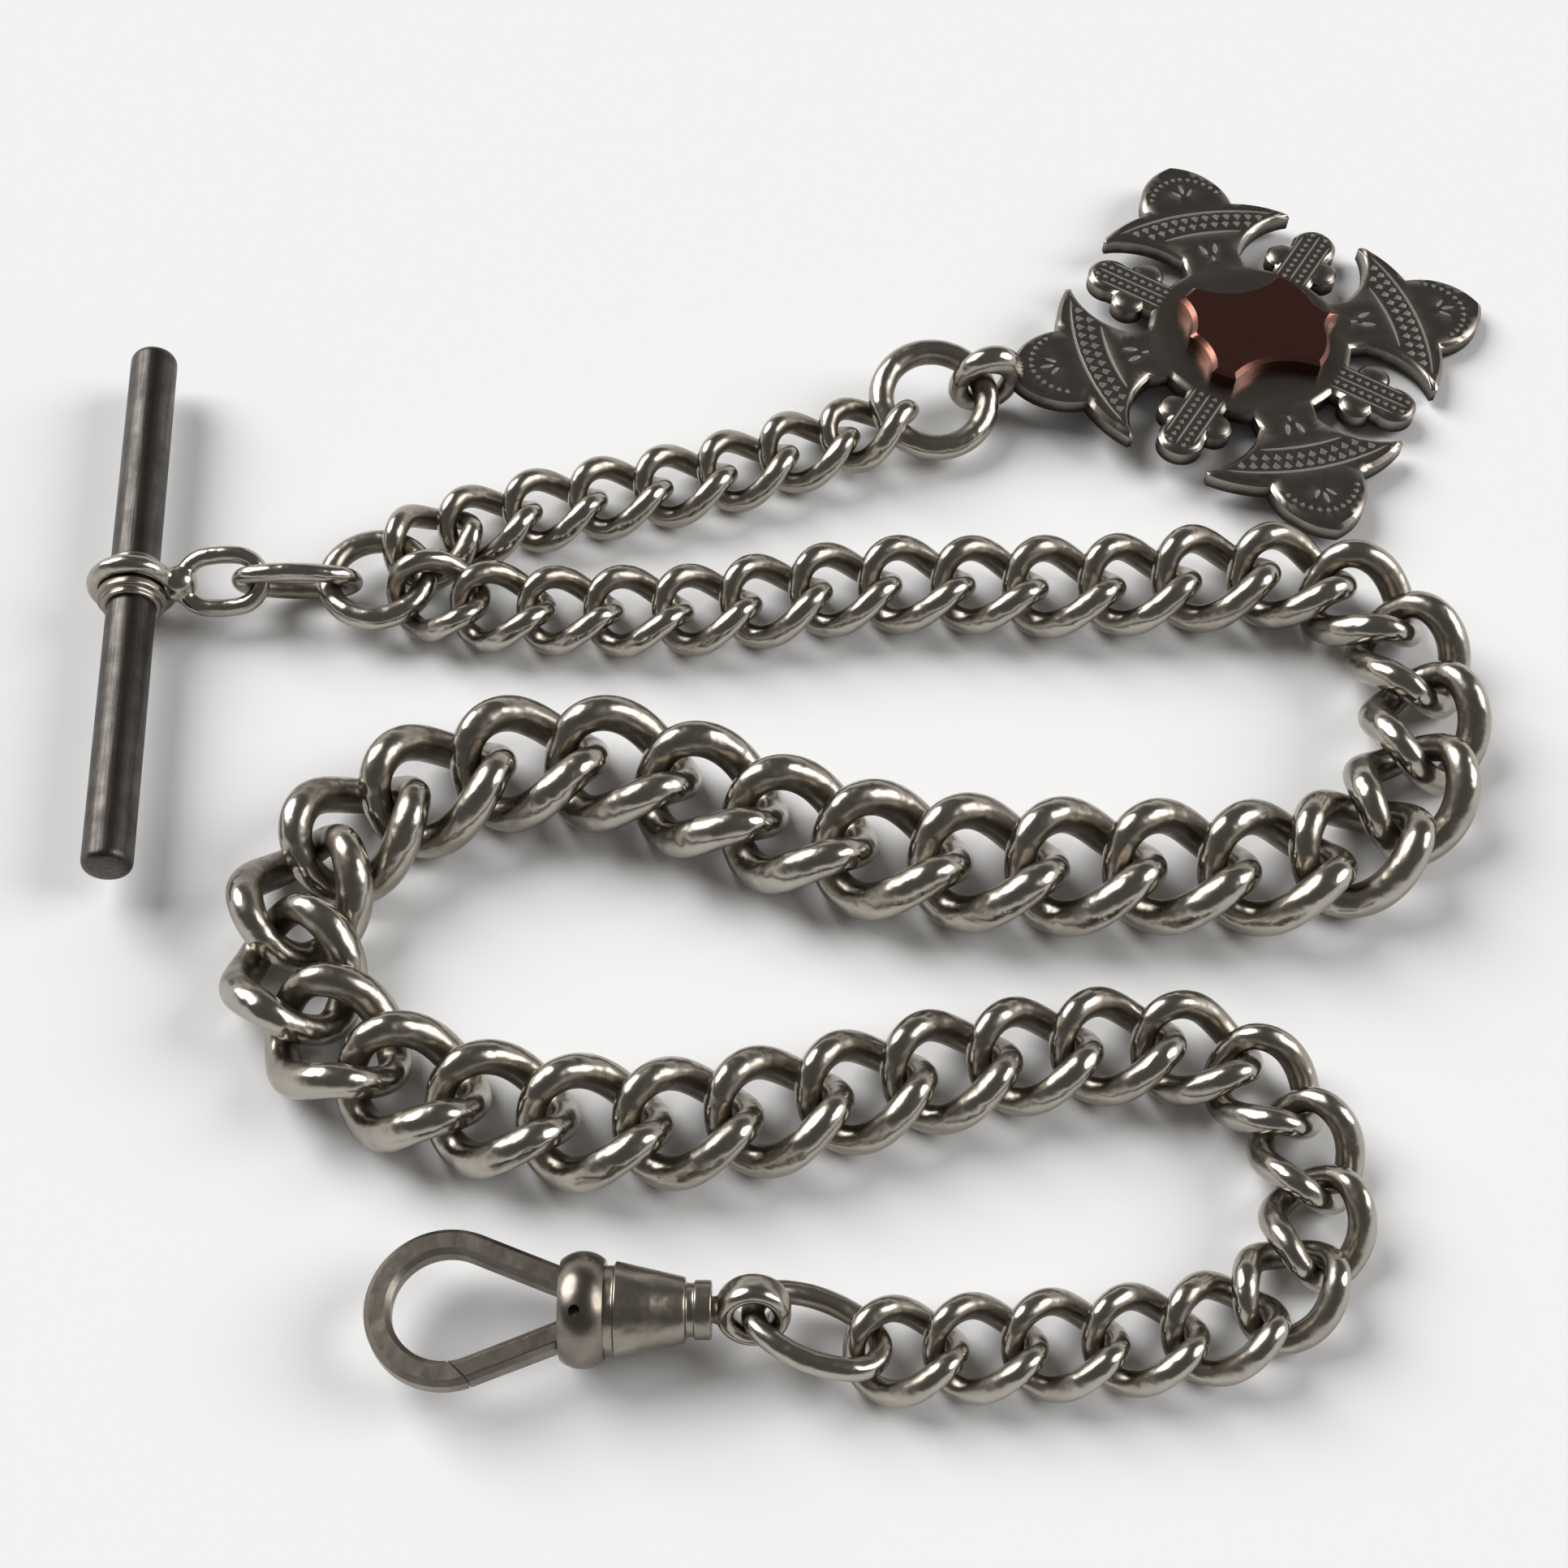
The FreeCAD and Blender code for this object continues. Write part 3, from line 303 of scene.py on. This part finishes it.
def curb_links(node, sizes):
    """The links of one CAD node, each on the centre and axes of its own solid."""
    all_points, all_faces, all_inner_darkening, count = [], [], [], 0
    for centre, axes in solids_of(node):
        surface, outward = wire_loop(*curb_link_line(*sizes))
        points, faces = grid_mesh(surface, close_u=True, close_v=True)
        all_points.append(points @ axes.T * mm + centre)
        all_faces.append(faces + count)
        # Darker on the inner side of each wire, lighter on its outer side.
        all_inner_darkening.append(0.32 - 0.42 * outward)
        count += len(points)
    thing = dress("silver_" + node, np.vstack(all_points), np.vstack(all_faces), silver, node)
    tarnish_and_painted_shade(thing, np.vstack(all_inner_darkening))


# Length, width and wire: the smallest link's, the largest's and the drop's. The main chain swells towards its
# middle link as a bell curve does.
smallest, largest, of_drop = np.array([6.6, 5.83, 1.42]), np.array([10.05, 9.14, 2.35]), (7.22, 6.2, 1.58)
middle_link, spread_of_links = 25.1, 16.45
for node in sorted(frame["nodes"]):
    if node.startswith("curb_link"):
        number = np.mean([int(word) for word in node.split("_")[2:]])
        share = math.exp(-(((number - middle_link) / spread_of_links) ** 2))
        curb_links(node, smallest * (1 - share) + largest * share)
    elif node.startswith("drop_links"):
        curb_links(node, of_drop)

# Rings and oval links: drawn silver wire bent round a mandrel, its ends soldered. The joining ring carries
# the main chain, the fob's drop and the connector; the oval swivel link carries the swivel's eye.


def wire_ring(node, line, wire, around=40):
    """A closed tube along a line, on the centre and axes of the CAD solid, darker on its inner side."""
    centre, axes = solids_of(node)[0]
    surface, outward = wire_loop(line, np.full(len(line), wire / 2), around)
    points, faces = grid_mesh(surface, close_u=True, close_v=True)
    thing = dress("silver_" + node, points @ axes.T * mm + centre, faces, silver, node)
    tarnish_and_painted_shade(thing, 0.30 - 0.42 * outward)


def round_line(radius, steps=160):
    """x is the cosine and y the sine of an angle, times the radius."""
    angle = np.linspace(0, 2 * np.pi, steps, endpoint=False)
    return np.stack([radius * np.cos(angle), radius * np.sin(angle), 0 * angle], axis=1)


def oval_line(length, width, wire, end_radius, steps=40):
    """Four arcs that meet in a common tangent, each given by its middle, its radius and its first and last
    angle: an end of the given radius, a long side, and the same two turned by half a circle."""
    reach, half_width = (length - wire) / 2 - end_radius, (width - wire) / 2 - end_radius
    drop = (reach**2 - half_width**2) / (2 * half_width)
    meeting = math.atan2(drop, reach)
    ends = np.linspace(-meeting, meeting, steps, endpoint=False)
    sides = np.linspace(meeting, np.pi - meeting, steps, endpoint=False)
    side_radius = half_width + drop + end_radius
    end = np.stack([reach + end_radius * np.cos(ends), end_radius * np.sin(ends), 0 * ends], axis=1)
    side = np.stack([side_radius * np.cos(sides), side_radius * np.sin(sides) - drop, 0 * sides], axis=1)
    half = np.vstack([end, side])
    return np.vstack([half, half * (-1, -1, 1)])


wire_ring("joining_ring", round_line((7.9 - 1.55) / 2), 1.55)
wire_ring("fob_ring", round_line((9.1 - 1.75) / 2), 1.75)
wire_ring("oval_connector_link", oval_line(8.5, 5.2, 1.2, 1.6), 1.2)
wire_ring("swivel_oval_link", oval_line(8.6, 5.9, 1.3, 1.9), 1.3)

# T-bar: a rod of silver, left with the lengthwise marks of the file and never polished since, so it is darker
# than the chain. Two collars, soldered on, keep the shackle at its middle.


def rounded(profile, radius, closed=False, steps=6):
    """Each corner of a profile becomes a parabola that leaves its two sides at the radius from the corner, or
    halfway along a shorter side."""
    profile = np.asarray(profile, float)
    before, after = np.roll(profile, 1, axis=0) - profile, np.roll(profile, -1, axis=0) - profile
    start = profile + before * np.minimum(0.5, radius / np.linalg.norm(before, axis=1))[:, None]
    end = profile + after * np.minimum(0.5, radius / np.linalg.norm(after, axis=1))[:, None]
    t = np.linspace(0, 1, steps)[None, :, None]
    bends = (1 - t) ** 2 * start[:, None] + 2 * t * (1 - t) * profile[:, None] + t**2 * end[:, None]
    if closed:
        return bends.reshape(-1, 2)
    return np.vstack([profile[:1], bends[1:-1].reshape(-1, 2), profile[-1:]])


def turned(profile, origin, along, side, around=96, closed=False):
    """A profile of (along, radius) points turned round a line: a point is the origin, plus its distance along
    the line, plus its radius in a direction that goes round from one side."""
    profile = np.asarray(profile, float)[:, None]
    turn = np.linspace(0, 2 * np.pi, around, endpoint=False)[None, :, None]
    spoke = np.cos(turn) * side + np.sin(turn) * np.cross(along, side)
    surface = profile[..., :1] * along + profile[..., 1:] * spoke
    return grid_mesh(surface * mm + origin, close_u=closed, close_v=True)


def evenly_sheltered(thing, value):
    """The same value all over a piece, so that it is evenly tarnished."""
    tarnish_and_painted_shade(thing, np.full(len(thing.data.vertices), value))


up = np.array([0.0, 0.0, 1.0])
bar_heading, bar_radius, half_bar = math.radians(94), 1.575, 41.8 / 2
bar_along = np.array([math.cos(bar_heading), math.sin(bar_heading), 0.0])
bar_side = np.array([bar_along[1], -bar_along[0], 0.0])
bar_middle = middle_of("t_bar")
bar_centre = bar_middle + 0.8 * mm * bar_along


def filed_silver(name):
    """Oxidised silver with file marks along the rod, about 0.2 mm apart and 5 mm long, which clouds of about
    2 mm break up."""
    material, tree = new_material(name)
    place = add(tree, "ShaderNodeTexCoord").outputs["Object"]
    lengthwise = add(tree, "ShaderNodeMapping", {"vector_type": "TEXTURE"}, Vector=place)
    lengthwise.inputs["Rotation"].default_value = (0, 0, bar_heading - math.pi / 2)
    lengthwise.inputs["Scale"].default_value = (0.2 * mm, 5 * mm, 0.2 * mm)
    marks = add(tree, "ShaderNodeTexNoise", Vector=lengthwise.outputs[0], Scale=1, Detail=4, Roughness=0.7)
    cloud = add(tree, "ShaderNodeTexNoise", Vector=place, Scale=500.0, Detail=5.0, Roughness=0.6)
    blend = add(tree, "ShaderNodeMath", {"operation": "MULTIPLY"}, _0=marks.outputs[0], _1=cloud.outputs[0])
    tone = add(tree, "ShaderNodeMapRange", Value=blend.outputs[0], From_Min=0.14, From_Max=0.42)
    shades = dict(_6=linear("#3a3633"), _7=linear("#5f5b57"))
    colour = add(tree, "ShaderNodeMix", {"data_type": "RGBA"}, Factor=tone.outputs[0], **shades)
    rough = add(tree, "ShaderNodeMapRange", Value=tone.outputs[0], To_Min=0.42, To_Max=0.28)
    bump = add(tree, "ShaderNodeBump", Strength=0.8, Distance=0.02 * mm, Height=marks.outputs[0])
    shader = add(
        tree,
        "ShaderNodeBsdfPrincipled",
        Base_Color=colour.outputs[2],
        Metallic=1.0,
        Roughness=rough.outputs[0],
        Normal=bump.outputs[0],
    )
    add(tree, "ShaderNodeOutputMaterial", Surface=shader.outputs[0])
    return material


# Oxidised and only filed, the rod is dark grey and half matt, with faint lighter streaks along it.
aged_silver = filed_silver("silver rod, filed lengthwise and oxidised")
rod_outline = [(-half_bar, 0), (-half_bar, bar_radius), (half_bar, bar_radius), (half_bar, 0)]
rod = turned(rounded(rod_outline, 0.7, steps=10), bar_middle, bar_along, bar_side)
dress("t_bar_rod", *rod, aged_silver, "t_bar", slot="aged_silver")
near_outline = [(-1.88, 1.5), (-1.88, 1.9), (-1.38, 1.9), (-1.38, 2.25), (-0.78, 2.25), (-0.78, 1.5)]
far_outline = [(0.78, 1.5), (0.78, 1.9), (1.48, 1.9), (1.48, 1.5)]
for node, outline in (("t_bar_near_collar", near_outline), ("t_bar_far_collar", far_outline)):
    rim = rounded(outline, 0.16, closed=True)
    collar = turned(rim[::-1], bar_centre, bar_along, bar_side, closed=True)
    evenly_sheltered(dress("silver_" + node, *collar, silver, node), 0.35)

# T-bar shackle: a figure of eight bent from one thick silver wire, its big eye open round the bar and its
# long small eye turned across it; the hammered waist between them is one lump.


def joined(*parts):
    """Several sets of points and faces as one."""
    starts = np.cumsum([0] + [len(points) for points, _ in parts[:-1]])
    faces = [faces + start for (_, faces), start in zip(parts, starts)]
    return np.vstack([points for points, _ in parts]), np.vstack(faces)


toward_ring = np.array([math.cos(math.radians(4)), math.sin(math.radians(4)), 0.0])
shackle_axes = np.stack([toward_ring, -up, bar_along], axis=1)
big_wire, small_wire, play = 1.36, 1.2, 0.05
small_length, small_width, shackle_reach = 6.3, 4.7, 8.95
big_line = round_line(bar_radius + play + big_wire / 2)
small_line = oval_line(small_length, small_width, small_wire, 1.7)
lean = math.radians(120)
lean_axes = np.array([[1, 0, 0], [0, math.cos(lean), -math.sin(lean)], [0, math.sin(lean), math.cos(lean)]])
big_eye = wire_loop(big_line, np.full(len(big_line), big_wire / 2), 40)[0]
small_eye = wire_loop(small_line, np.full(len(small_line), small_wire / 2), 40)[0]
small_eye = small_eye @ lean_axes.T + (shackle_reach - small_length / 2, 0, 0)
share = np.linspace(1, -1, 40)
waist = np.stack([2.95 + 1.25 * share, 1.2 * np.sqrt(1 - share**2)], axis=1)
big_eye, small_eye = (eye @ shackle_axes.T * mm + bar_centre for eye in (big_eye, small_eye))
forging = joined(
    grid_mesh(big_eye, close_u=True, close_v=True),
    grid_mesh(small_eye, close_u=True, close_v=True),
    turned(waist, bar_centre, toward_ring, up),
)
shackle = dress("silver_t_bar_shackle", *forging, silver, "t_bar_shackle")
weld = shackle.modifiers.new("one_forging", "REMESH")
weld.mode, weld.voxel_size, weld.use_smooth_shade = "VOXEL", 0.1 * mm, True
hammering = shackle.modifiers.new("hammered_smooth", "SMOOTH")
hammering.factor, hammering.iterations = 0.5, 20

# Swivel: a turned silver eye on a shank that spins in a turned barrel, so that the chain's twists run out.
# The barrel's collar, groove and cone are cut in one piece and joined to the bulged drum of the hook.
barrel_high = np.array(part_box("swivel_barrel")[1])
to_hook, to_viewer = np.array([-1.0, 0.0, 0.0]), np.array([0.0, -1.0, 0.0])
swivel_middle = middle_of("swivel_barrel")
swivel_middle[0] = barrel_high[0] + 2.25 * mm
collar_outline = [(2.25, 0.7), (2.25, 1.6), (3.2, 1.6), (3.2, 1.45), (3.65, 1.45)]
cone_outline = [(3.65, 1.75), (7.5, 2.625), (7.5, 2.375), (8.1, 2.375)]
barrel = turned(rounded(collar_outline + cone_outline, 0.14)[::-1], swivel_middle, to_hook, to_viewer)
evenly_sheltered(dress("silver_swivel_barrel", *barrel, silver, "swivel_barrel"), 0.45)
tilt = math.radians(25)
eye_along = math.cos(tilt) * to_viewer + math.sin(tilt) * up
band_outline = [(-0.95, 1.025), (-0.95, 2.075), (0.95, 2.075), (0.95, 1.025)]
band = rounded(band_outline, 0.85, closed=True, steps=12)
shank = rounded([(1.4, 1.25), (1.7, 0.95), (2.0, 0.76), (2.3, 0.7), (2.6, 0.7)], 0.2)
eye = joined(
    turned(band[::-1], swivel_middle, eye_along, to_hook, closed=True),
    turned(shank[::-1], swivel_middle, to_hook, to_viewer),
)
evenly_sheltered(dress("silver_swivel_eye", *eye, silver, "swivel_eye"), 0.12)

# Hook: a square silver bar bent in the shape of a pear, one arm fixed in the drum and the other, the gate,
# on a pin through a slot in it. Its slot, pin hole and slanted joint are the solid's own.


def finished_copy(node, name, material, edge, work=None):
    """The CAD solid with its loose triangles merged and its flat faces joined, worked on if there is work to
    do, and with its edges rounded by the given width, if any."""
    mesh = frame["nodes"][node].data.copy()
    worked = bmesh.new()
    worked.from_mesh(mesh)
    bmesh.ops.remove_doubles(worked, verts=worked.verts, dist=0.0005 * mm)
    bmesh.ops.dissolve_limit(worked, angle_limit=math.radians(0.5), verts=worked.verts, edges=worked.edges)
    if work:
        worked.normal_update()
        worked.verts.index_update()
        work(worked)
    mesh.materials.clear()
    mesh.materials.append(material)
    worked.to_mesh(mesh)
    worked.free()
    mesh.polygons.foreach_set("use_smooth", np.full(len(mesh.polygons), True))
    mesh.set_sharp_from_angle(angle=math.radians(24))
    thing = bpy.data.objects.new(name, mesh)
    bpy.context.scene.collection.objects.link(thing)
    if edge:
        bevel = thing.modifiers.new("rounded_edges", "BEVEL")
        bevel.width, bevel.segments, bevel.limit_method = edge * mm, 3, "ANGLE"
        bevel.angle_limit, bevel.harden_normals = math.radians(28), True
    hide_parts(node)
    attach(thing, body_of[node])
    return thing


# Filed flats dull a little in the hand: the hook is browner than the links, with broad, even reflections.
hook_silver = polished_silver(
    "sterling silver, filed flat and worn", "#938b81", "#4d463e", 0.2, 0.42, dents=0.05
)
for node in ("swivel_hook", "swivel_gate"):
    evenly_sheltered(finished_copy(node, "silver_" + node, hook_silver, 0.24), 0.28)
finished_copy("swivel_gate_pin", "silver_gate_pin", aged_silver, 0.04)

# Gate spring: a leaf of spring steel in the drum's slot, held at its root, that pushes the gate shut. It was
# ground flat and then heated until it turned blue.


def blued_steel(name):
    """Steel with clouds of blue of about 1.7 mm, and grinding scratches 0.05 mm apart along the leaf."""
    material, tree = new_material(name)
    place = add(tree, "ShaderNodeTexCoord").outputs["Object"]
    scratched = add(tree, "ShaderNodeMapping", {"vector_type": "TEXTURE"}, Vector=place)
    scratched.inputs["Scale"].default_value = (2 * mm, 0.05 * mm, 0.05 * mm)
    marks = add(tree, "ShaderNodeTexNoise", Vector=scratched.outputs[0], Scale=1.0, Detail=3.0)
    heat = add(tree, "ShaderNodeTexNoise", Vector=place, Scale=600.0, Detail=2.0)
    shades = dict(_6=linear("#333b4e"), _7=linear("#5a5f6c"))
    colour = add(tree, "ShaderNodeMix", {"data_type": "RGBA"}, Factor=heat.outputs[0], **shades)
    bump = add(tree, "ShaderNodeBump", Strength=0.5, Distance=0.005 * mm, Height=marks.outputs[0])
    shader = add(
        tree,
        "ShaderNodeBsdfPrincipled",
        Base_Color=colour.outputs[2],
        Metallic=1.0,
        Roughness=0.32,
        Normal=bump.outputs[0],
    )
    add(tree, "ShaderNodeOutputMaterial", Surface=shader.outputs[0])
    return material


# Blued steel is dark and satin, with a cold tinge beside the warm silver.
spring_blue = blued_steel("spring steel, ground and blued")
finished_copy("swivel_gate_spring", "steel_gate_spring", spring_blue, 0.02)

# Bail: a heavy silver ring on edge, soldered in a notch of the fob's nearest lobe; it is thicker at its
# crown, where the fob ring would wear it through. The fob slopes down from it to the far lobe.
bail_to_middle, middle_to_lobe, bail_height, half_plate = 19.6, 17.8, 2.75, 0.675
fob_heading = math.radians(13.8)
fob_slope = math.asin((bail_height - half_plate) / (bail_to_middle + middle_to_lobe))
level = math.cos(fob_slope)
fob_x = np.array([math.cos(fob_heading) * level, math.sin(fob_heading) * level, -math.sin(fob_slope)])
fob_y = np.array([-math.sin(fob_heading), math.cos(fob_heading), 0.0])
fob_axes = np.stack([fob_x, fob_y, np.cross(fob_x, fob_y)], axis=1)
fob_middle = middle_of("fob_bail") + fob_x * bail_to_middle * mm
turn = np.linspace(0, 2 * np.pi, 160, endpoint=False)
crown = 0.28 * np.clip(np.sin(turn + 0.35), 0, 1) ** 2
bail_line = (1.9 + crown)[:, None] * np.stack([np.cos(turn), 0 * turn, np.sin(turn)], axis=1)
bail_surface, bail_outward = wire_loop(bail_line, 0.7 + crown, 40)
bail_surface = bail_surface @ fob_axes.T * mm + middle_of("fob_bail")
bail = dress("silver_fob_bail", *grid_mesh(bail_surface, close_u=True, close_v=True), silver, "fob_bail")
# Darker on the inner side of the wire, lighter on its outer side.
tarnish_and_painted_shade(bail, 0.25 - 0.42 * bail_outward)

# Fob: a cross pattee pierced from silver plate, its edge rounded with a file and its face engraved with
# bright cuts: two rows between curved lines on each blade, sprigs on lobes and necks, ribs on the trefoils.


def graver_cut(line, widths):
    """A cut with a V section: its two edges lie each side of the line by half its width there, and its bottom
    under the line, as deep as half the width. Gives the points of its edges, in order, and its bottom's."""
    line, half = np.asarray(line, float), np.asarray(widths, float)[:, None] / 2
    ahead = np.gradient(line, axis=0)
    ahead /= np.linalg.norm(ahead, axis=1)[:, None]
    across = np.stack([-ahead[:, 1], ahead[:, 0]], axis=1) * half
    edge = np.vstack([line[:1], (line - across)[1:-1], line[-1:], (line + across)[1:-1][::-1]])
    return edge, np.hstack([line[1:-1], -half[1:-1]])


def row_of_cuts(centre, radius, turns, size, leaf=0.75):
    """Short cuts side by side, each along the radius of an arc at one of its angles, widest near its end."""
    cuts = []
    for turn in turns:
        out = np.array([math.cos(turn), math.sin(turn)])
        line = [centre + out * (radius + size * part) for part in (-0.5, leaf - 0.5, 0.5)]
        cuts.append(graver_cut(line, (0, size * 0.95, 0)))
    return cuts


def curved_line(centre, radius, half_turn, width=0.2):
    """One long cut along an arc, its width the square root of a parabola."""
    turn = np.linspace(-half_turn, half_turn, 25)
    line = np.asarray(centre) + radius * np.stack([np.cos(turn), np.sin(turn)], axis=1)
    return [graver_cut(line, width * np.sqrt(1 - np.linspace(-1, 1, 25) ** 2))]


def leaf_cut(start, direction, length, width):
    """A leaf-shaped cut from a start in a direction in degrees. Its width is the sine of half a turn times
    the share of its length to the power of 0.8."""
    out = np.array([math.cos(math.radians(direction)), math.sin(math.radians(direction))])
    along = np.linspace(0, 1, 7)
    return [graver_cut(np.asarray(start) + along[:, None] * length * out, width * np.sin(np.pi * along**0.8))]


def arm_cuts():
    """The cuts of one arm, which points along x: its arcs have their centre beyond the middle of the fob."""
    hub = np.array([-4.9, 0.0])
    cuts = curved_line(hub, 17.45, 0.355) + curved_line(hub, 15.4, 0.2)
    cuts += row_of_cuts(hub, 16.85, np.linspace(-0.285, 0.285, 13), 0.64)
    cuts += row_of_cuts(hub, 16.1, np.linspace(-0.232, 0.232, 10), 0.62)
    for side in (1, -1):
        cuts += row_of_cuts(np.array([13.2, -0.25 * side]), 3.0, side * np.linspace(0.17, 1.15, 6), 0.42)
        cuts += leaf_cut((14.35, 0.22 * side), 38 * side, 0.95, 0.26)
        cuts += leaf_cut((8.3, 0.3 * side), 16 * side, 1.15, 0.34)
    return cuts + leaf_cut((14.6, 0), 0, 1.1, 0.28) + leaf_cut((7.6, 0), 0, 0.6, 0.22)


def trefoil_cuts():
    """The cuts of one trefoil, which points along x: three ribs with a row between each two."""
    cuts = []
    for y, end in ((-1.05, 11.5), (0, 12.2), (1.05, 11.5)):
        rib = np.stack([np.linspace(6.6, end, 12), np.full(12, y)], axis=1)
        cuts.append(graver_cut(rib, [0] + [0.12] * 10 + [0]))
    for x in np.arange(6.9, 11.9, 0.62):
        for y in (-0.52, 0.52):
            cuts.append(graver_cut([(x - 0.2, y), (x + 0.12, y), (x + 0.24, y)], (0, 0.42, 0)))
    return cuts


def engrave(worked, cuts, depth_share=0.55):
    """Replaces the flat top of the plate by one that is triangulated round the cuts, and adds their sides:
    each goes from an edge of its cut down to a share of its depth, and takes the second material."""
    place = np.array([vertex.co for vertex in worked.verts])
    own = (place - fob_middle) @ fob_axes / mm
    up_normal = Vector(fob_axes[:, 2])
    worked.faces.ensure_lookup_table()

    def on_top(face):
        lowest = min(own[vertex.index][2] for vertex in face.verts)
        return face.normal.dot(up_normal) > 0.999 and lowest > half_plate - 0.015

    top = [face for face in worked.faces if on_top(face)]
    chosen = set(top)
    rim = [edge for face in top for edge in face.edges if len(chosen.intersection(edge.link_faces)) == 1]
    numbers = sorted({vertex.index for edge in rim for vertex in edge.verts})
    order = {number: k for k, number in enumerate(numbers)}
    flat = [Vector(own[number][:2]) for number in numbers]
    edges = [tuple(order[vertex.index] for vertex in edge.verts) for edge in rim]
    faces = []
    for edge_points, _ in cuts:
        faces.append(list(range(len(flat), len(flat) + len(edge_points))))
        flat.extend(Vector(point) for point in edge_points)
    bmesh.ops.delete(worked, geom=top, context="FACES_ONLY")
    found, _, triangles, sources, _, origins = delaunay_2d_cdt(flat, edges, faces, 1, 1e-6)
    worked.verts.ensure_lookup_table()

    def new_vertex(x, y, z):
        return worked.verts.new(fob_axes @ np.array([x, y, z]) * mm + fob_middle)

    vertices, meeting = [], {}
    for number, (point, source) in enumerate(zip(found, sources)):
        meeting.update((k, number) for k in source)
        on_rim = [numbers[k] for k in source if k < len(numbers)]
        vertices.append(worked.verts[on_rim[0]] if on_rim else new_vertex(point.x, point.y, half_plate))
    for triangle, origin in zip(triangles, origins):
        if not origin:
            worked.faces.new([vertices[k] for k in triangle])
    for (_, bottom), face in zip(cuts, faces):
        ring = [vertices[meeting[k]] for k in face]
        count = len(bottom)
        deep = [new_vertex(x, y, half_plate + depth * depth_share) for x, y, depth in bottom]
        left, right = ring[: count + 2], [ring[0]] + ring[count + 2 :][::-1] + [ring[count + 1]]
        for side, turn in ((left, 1), (right, -1)):
            floor = [side[0]] + deep + [side[-1]]
            for k in range(count + 1):
                corners = list(dict.fromkeys([side[k], side[k + 1], floor[k + 1], floor[k]]))
                worked.faces.new(corners[::turn]).material_index = 1


def turned_round(cuts, degrees):
    """The same cuts, turned round the middle of the fob."""
    c, s = math.cos(math.radians(degrees)), math.sin(math.radians(degrees))
    turn = np.array([[c, s], [-s, c]])
    return [(edge @ turn, np.hstack([bottom[:, :2] @ turn, bottom[:, 2:]])) for edge, bottom in cuts]


all_cuts = []
for quarter in (0, 90, 180, 270):
    all_cuts += turned_round(arm_cuts(), quarter) + turned_round(trefoil_cuts(), quarter + 45)

# Oxide fills the plate's face. Its edges are near black towards the foot and back, as oxide and as painted
# shade, and bright on the rubbed rim, as wear and as a painted highlight;
# each cut goes through the oxide to clean silver, and glints.
plate_silver = polished_silver(
    "silver plate, oxidised in the hollows", "#8a837b", "#352f2b", 0.24, 0.45, dents=0.02
)
bright_cut = polished_silver("silver, bright cut by the graver", "#f0ece5", "#c9c2b8", 0.3, 0.42, dents=0.0)
cross = finished_copy("fob_cross", "silver_fob_cross", plate_silver, 0, work=lambda it: engrave(it, all_cuts))
cross.data.materials.append(bright_cut)
heights = np.zeros(len(cross.data.vertices) * 3)
cross.data.vertices.foreach_get("co", heights)
heights = ((heights.reshape(-1, 3) - fob_middle) @ fob_axes)[:, 2] / mm
# From 0.2 to 0.6 mm up, the rim band, which also holds the cuts' bottoms, is painted lighter as wear and as a
# highlight; below 0.2 mm the foot and back are painted darker as oxide and as shade.
of_face, rim_wear_and_highlight, foot_oxide_and_shade = 0.22, -0.35, 1.3
tarnish_and_painted_shade(cross, np.select([heights > 0.6, heights > 0.2], [of_face, rim_wear_and_highlight], foot_oxide_and_shade))

# Shield: a thin block of rose gold, its edge rounded and its face left smooth for a monogram, soldered on the
# middle of the cross.


def worn_gold(name):
    """Rose gold with rubbed patches of about 1 mm, which change its tint and shine and dent it slightly."""
    material, tree = new_material(name)
    place = add(tree, "ShaderNodeTexCoord").outputs["Object"]
    rubbing = add(tree, "ShaderNodeTexNoise", Vector=place, Scale=900.0, Detail=6.0, Roughness=0.7)
    shine = add(tree, "ShaderNodeMapRange", Value=rubbing.outputs[0], To_Min=0.14, To_Max=0.34)
    shades = dict(_6=linear("#8e6156"), _7=linear("#68453c"))
    tint = add(tree, "ShaderNodeMix", {"data_type": "RGBA"}, Factor=rubbing.outputs[0], **shades)
    dent = add(tree, "ShaderNodeBump", Strength=0.5, Distance=0.02 * mm, Height=rubbing.outputs[0])
    shader = add(
        tree,
        "ShaderNodeBsdfPrincipled",
        Base_Color=tint.outputs[2],
        Metallic=1.0,
        Roughness=shine.outputs[0],
        Normal=dent.outputs[0],
    )
    add(tree, "ShaderNodeOutputMaterial", Surface=shader.outputs[0])
    return material


# Old rose gold, toned by age, is a deep brown red that only lights up along its rounded edge.
rose_gold = worn_gold("rose gold, polished")
finished_copy("fob_cartouche", "gold_fob_shield", rose_gold, 0)

bpy.context.view_layer.update()
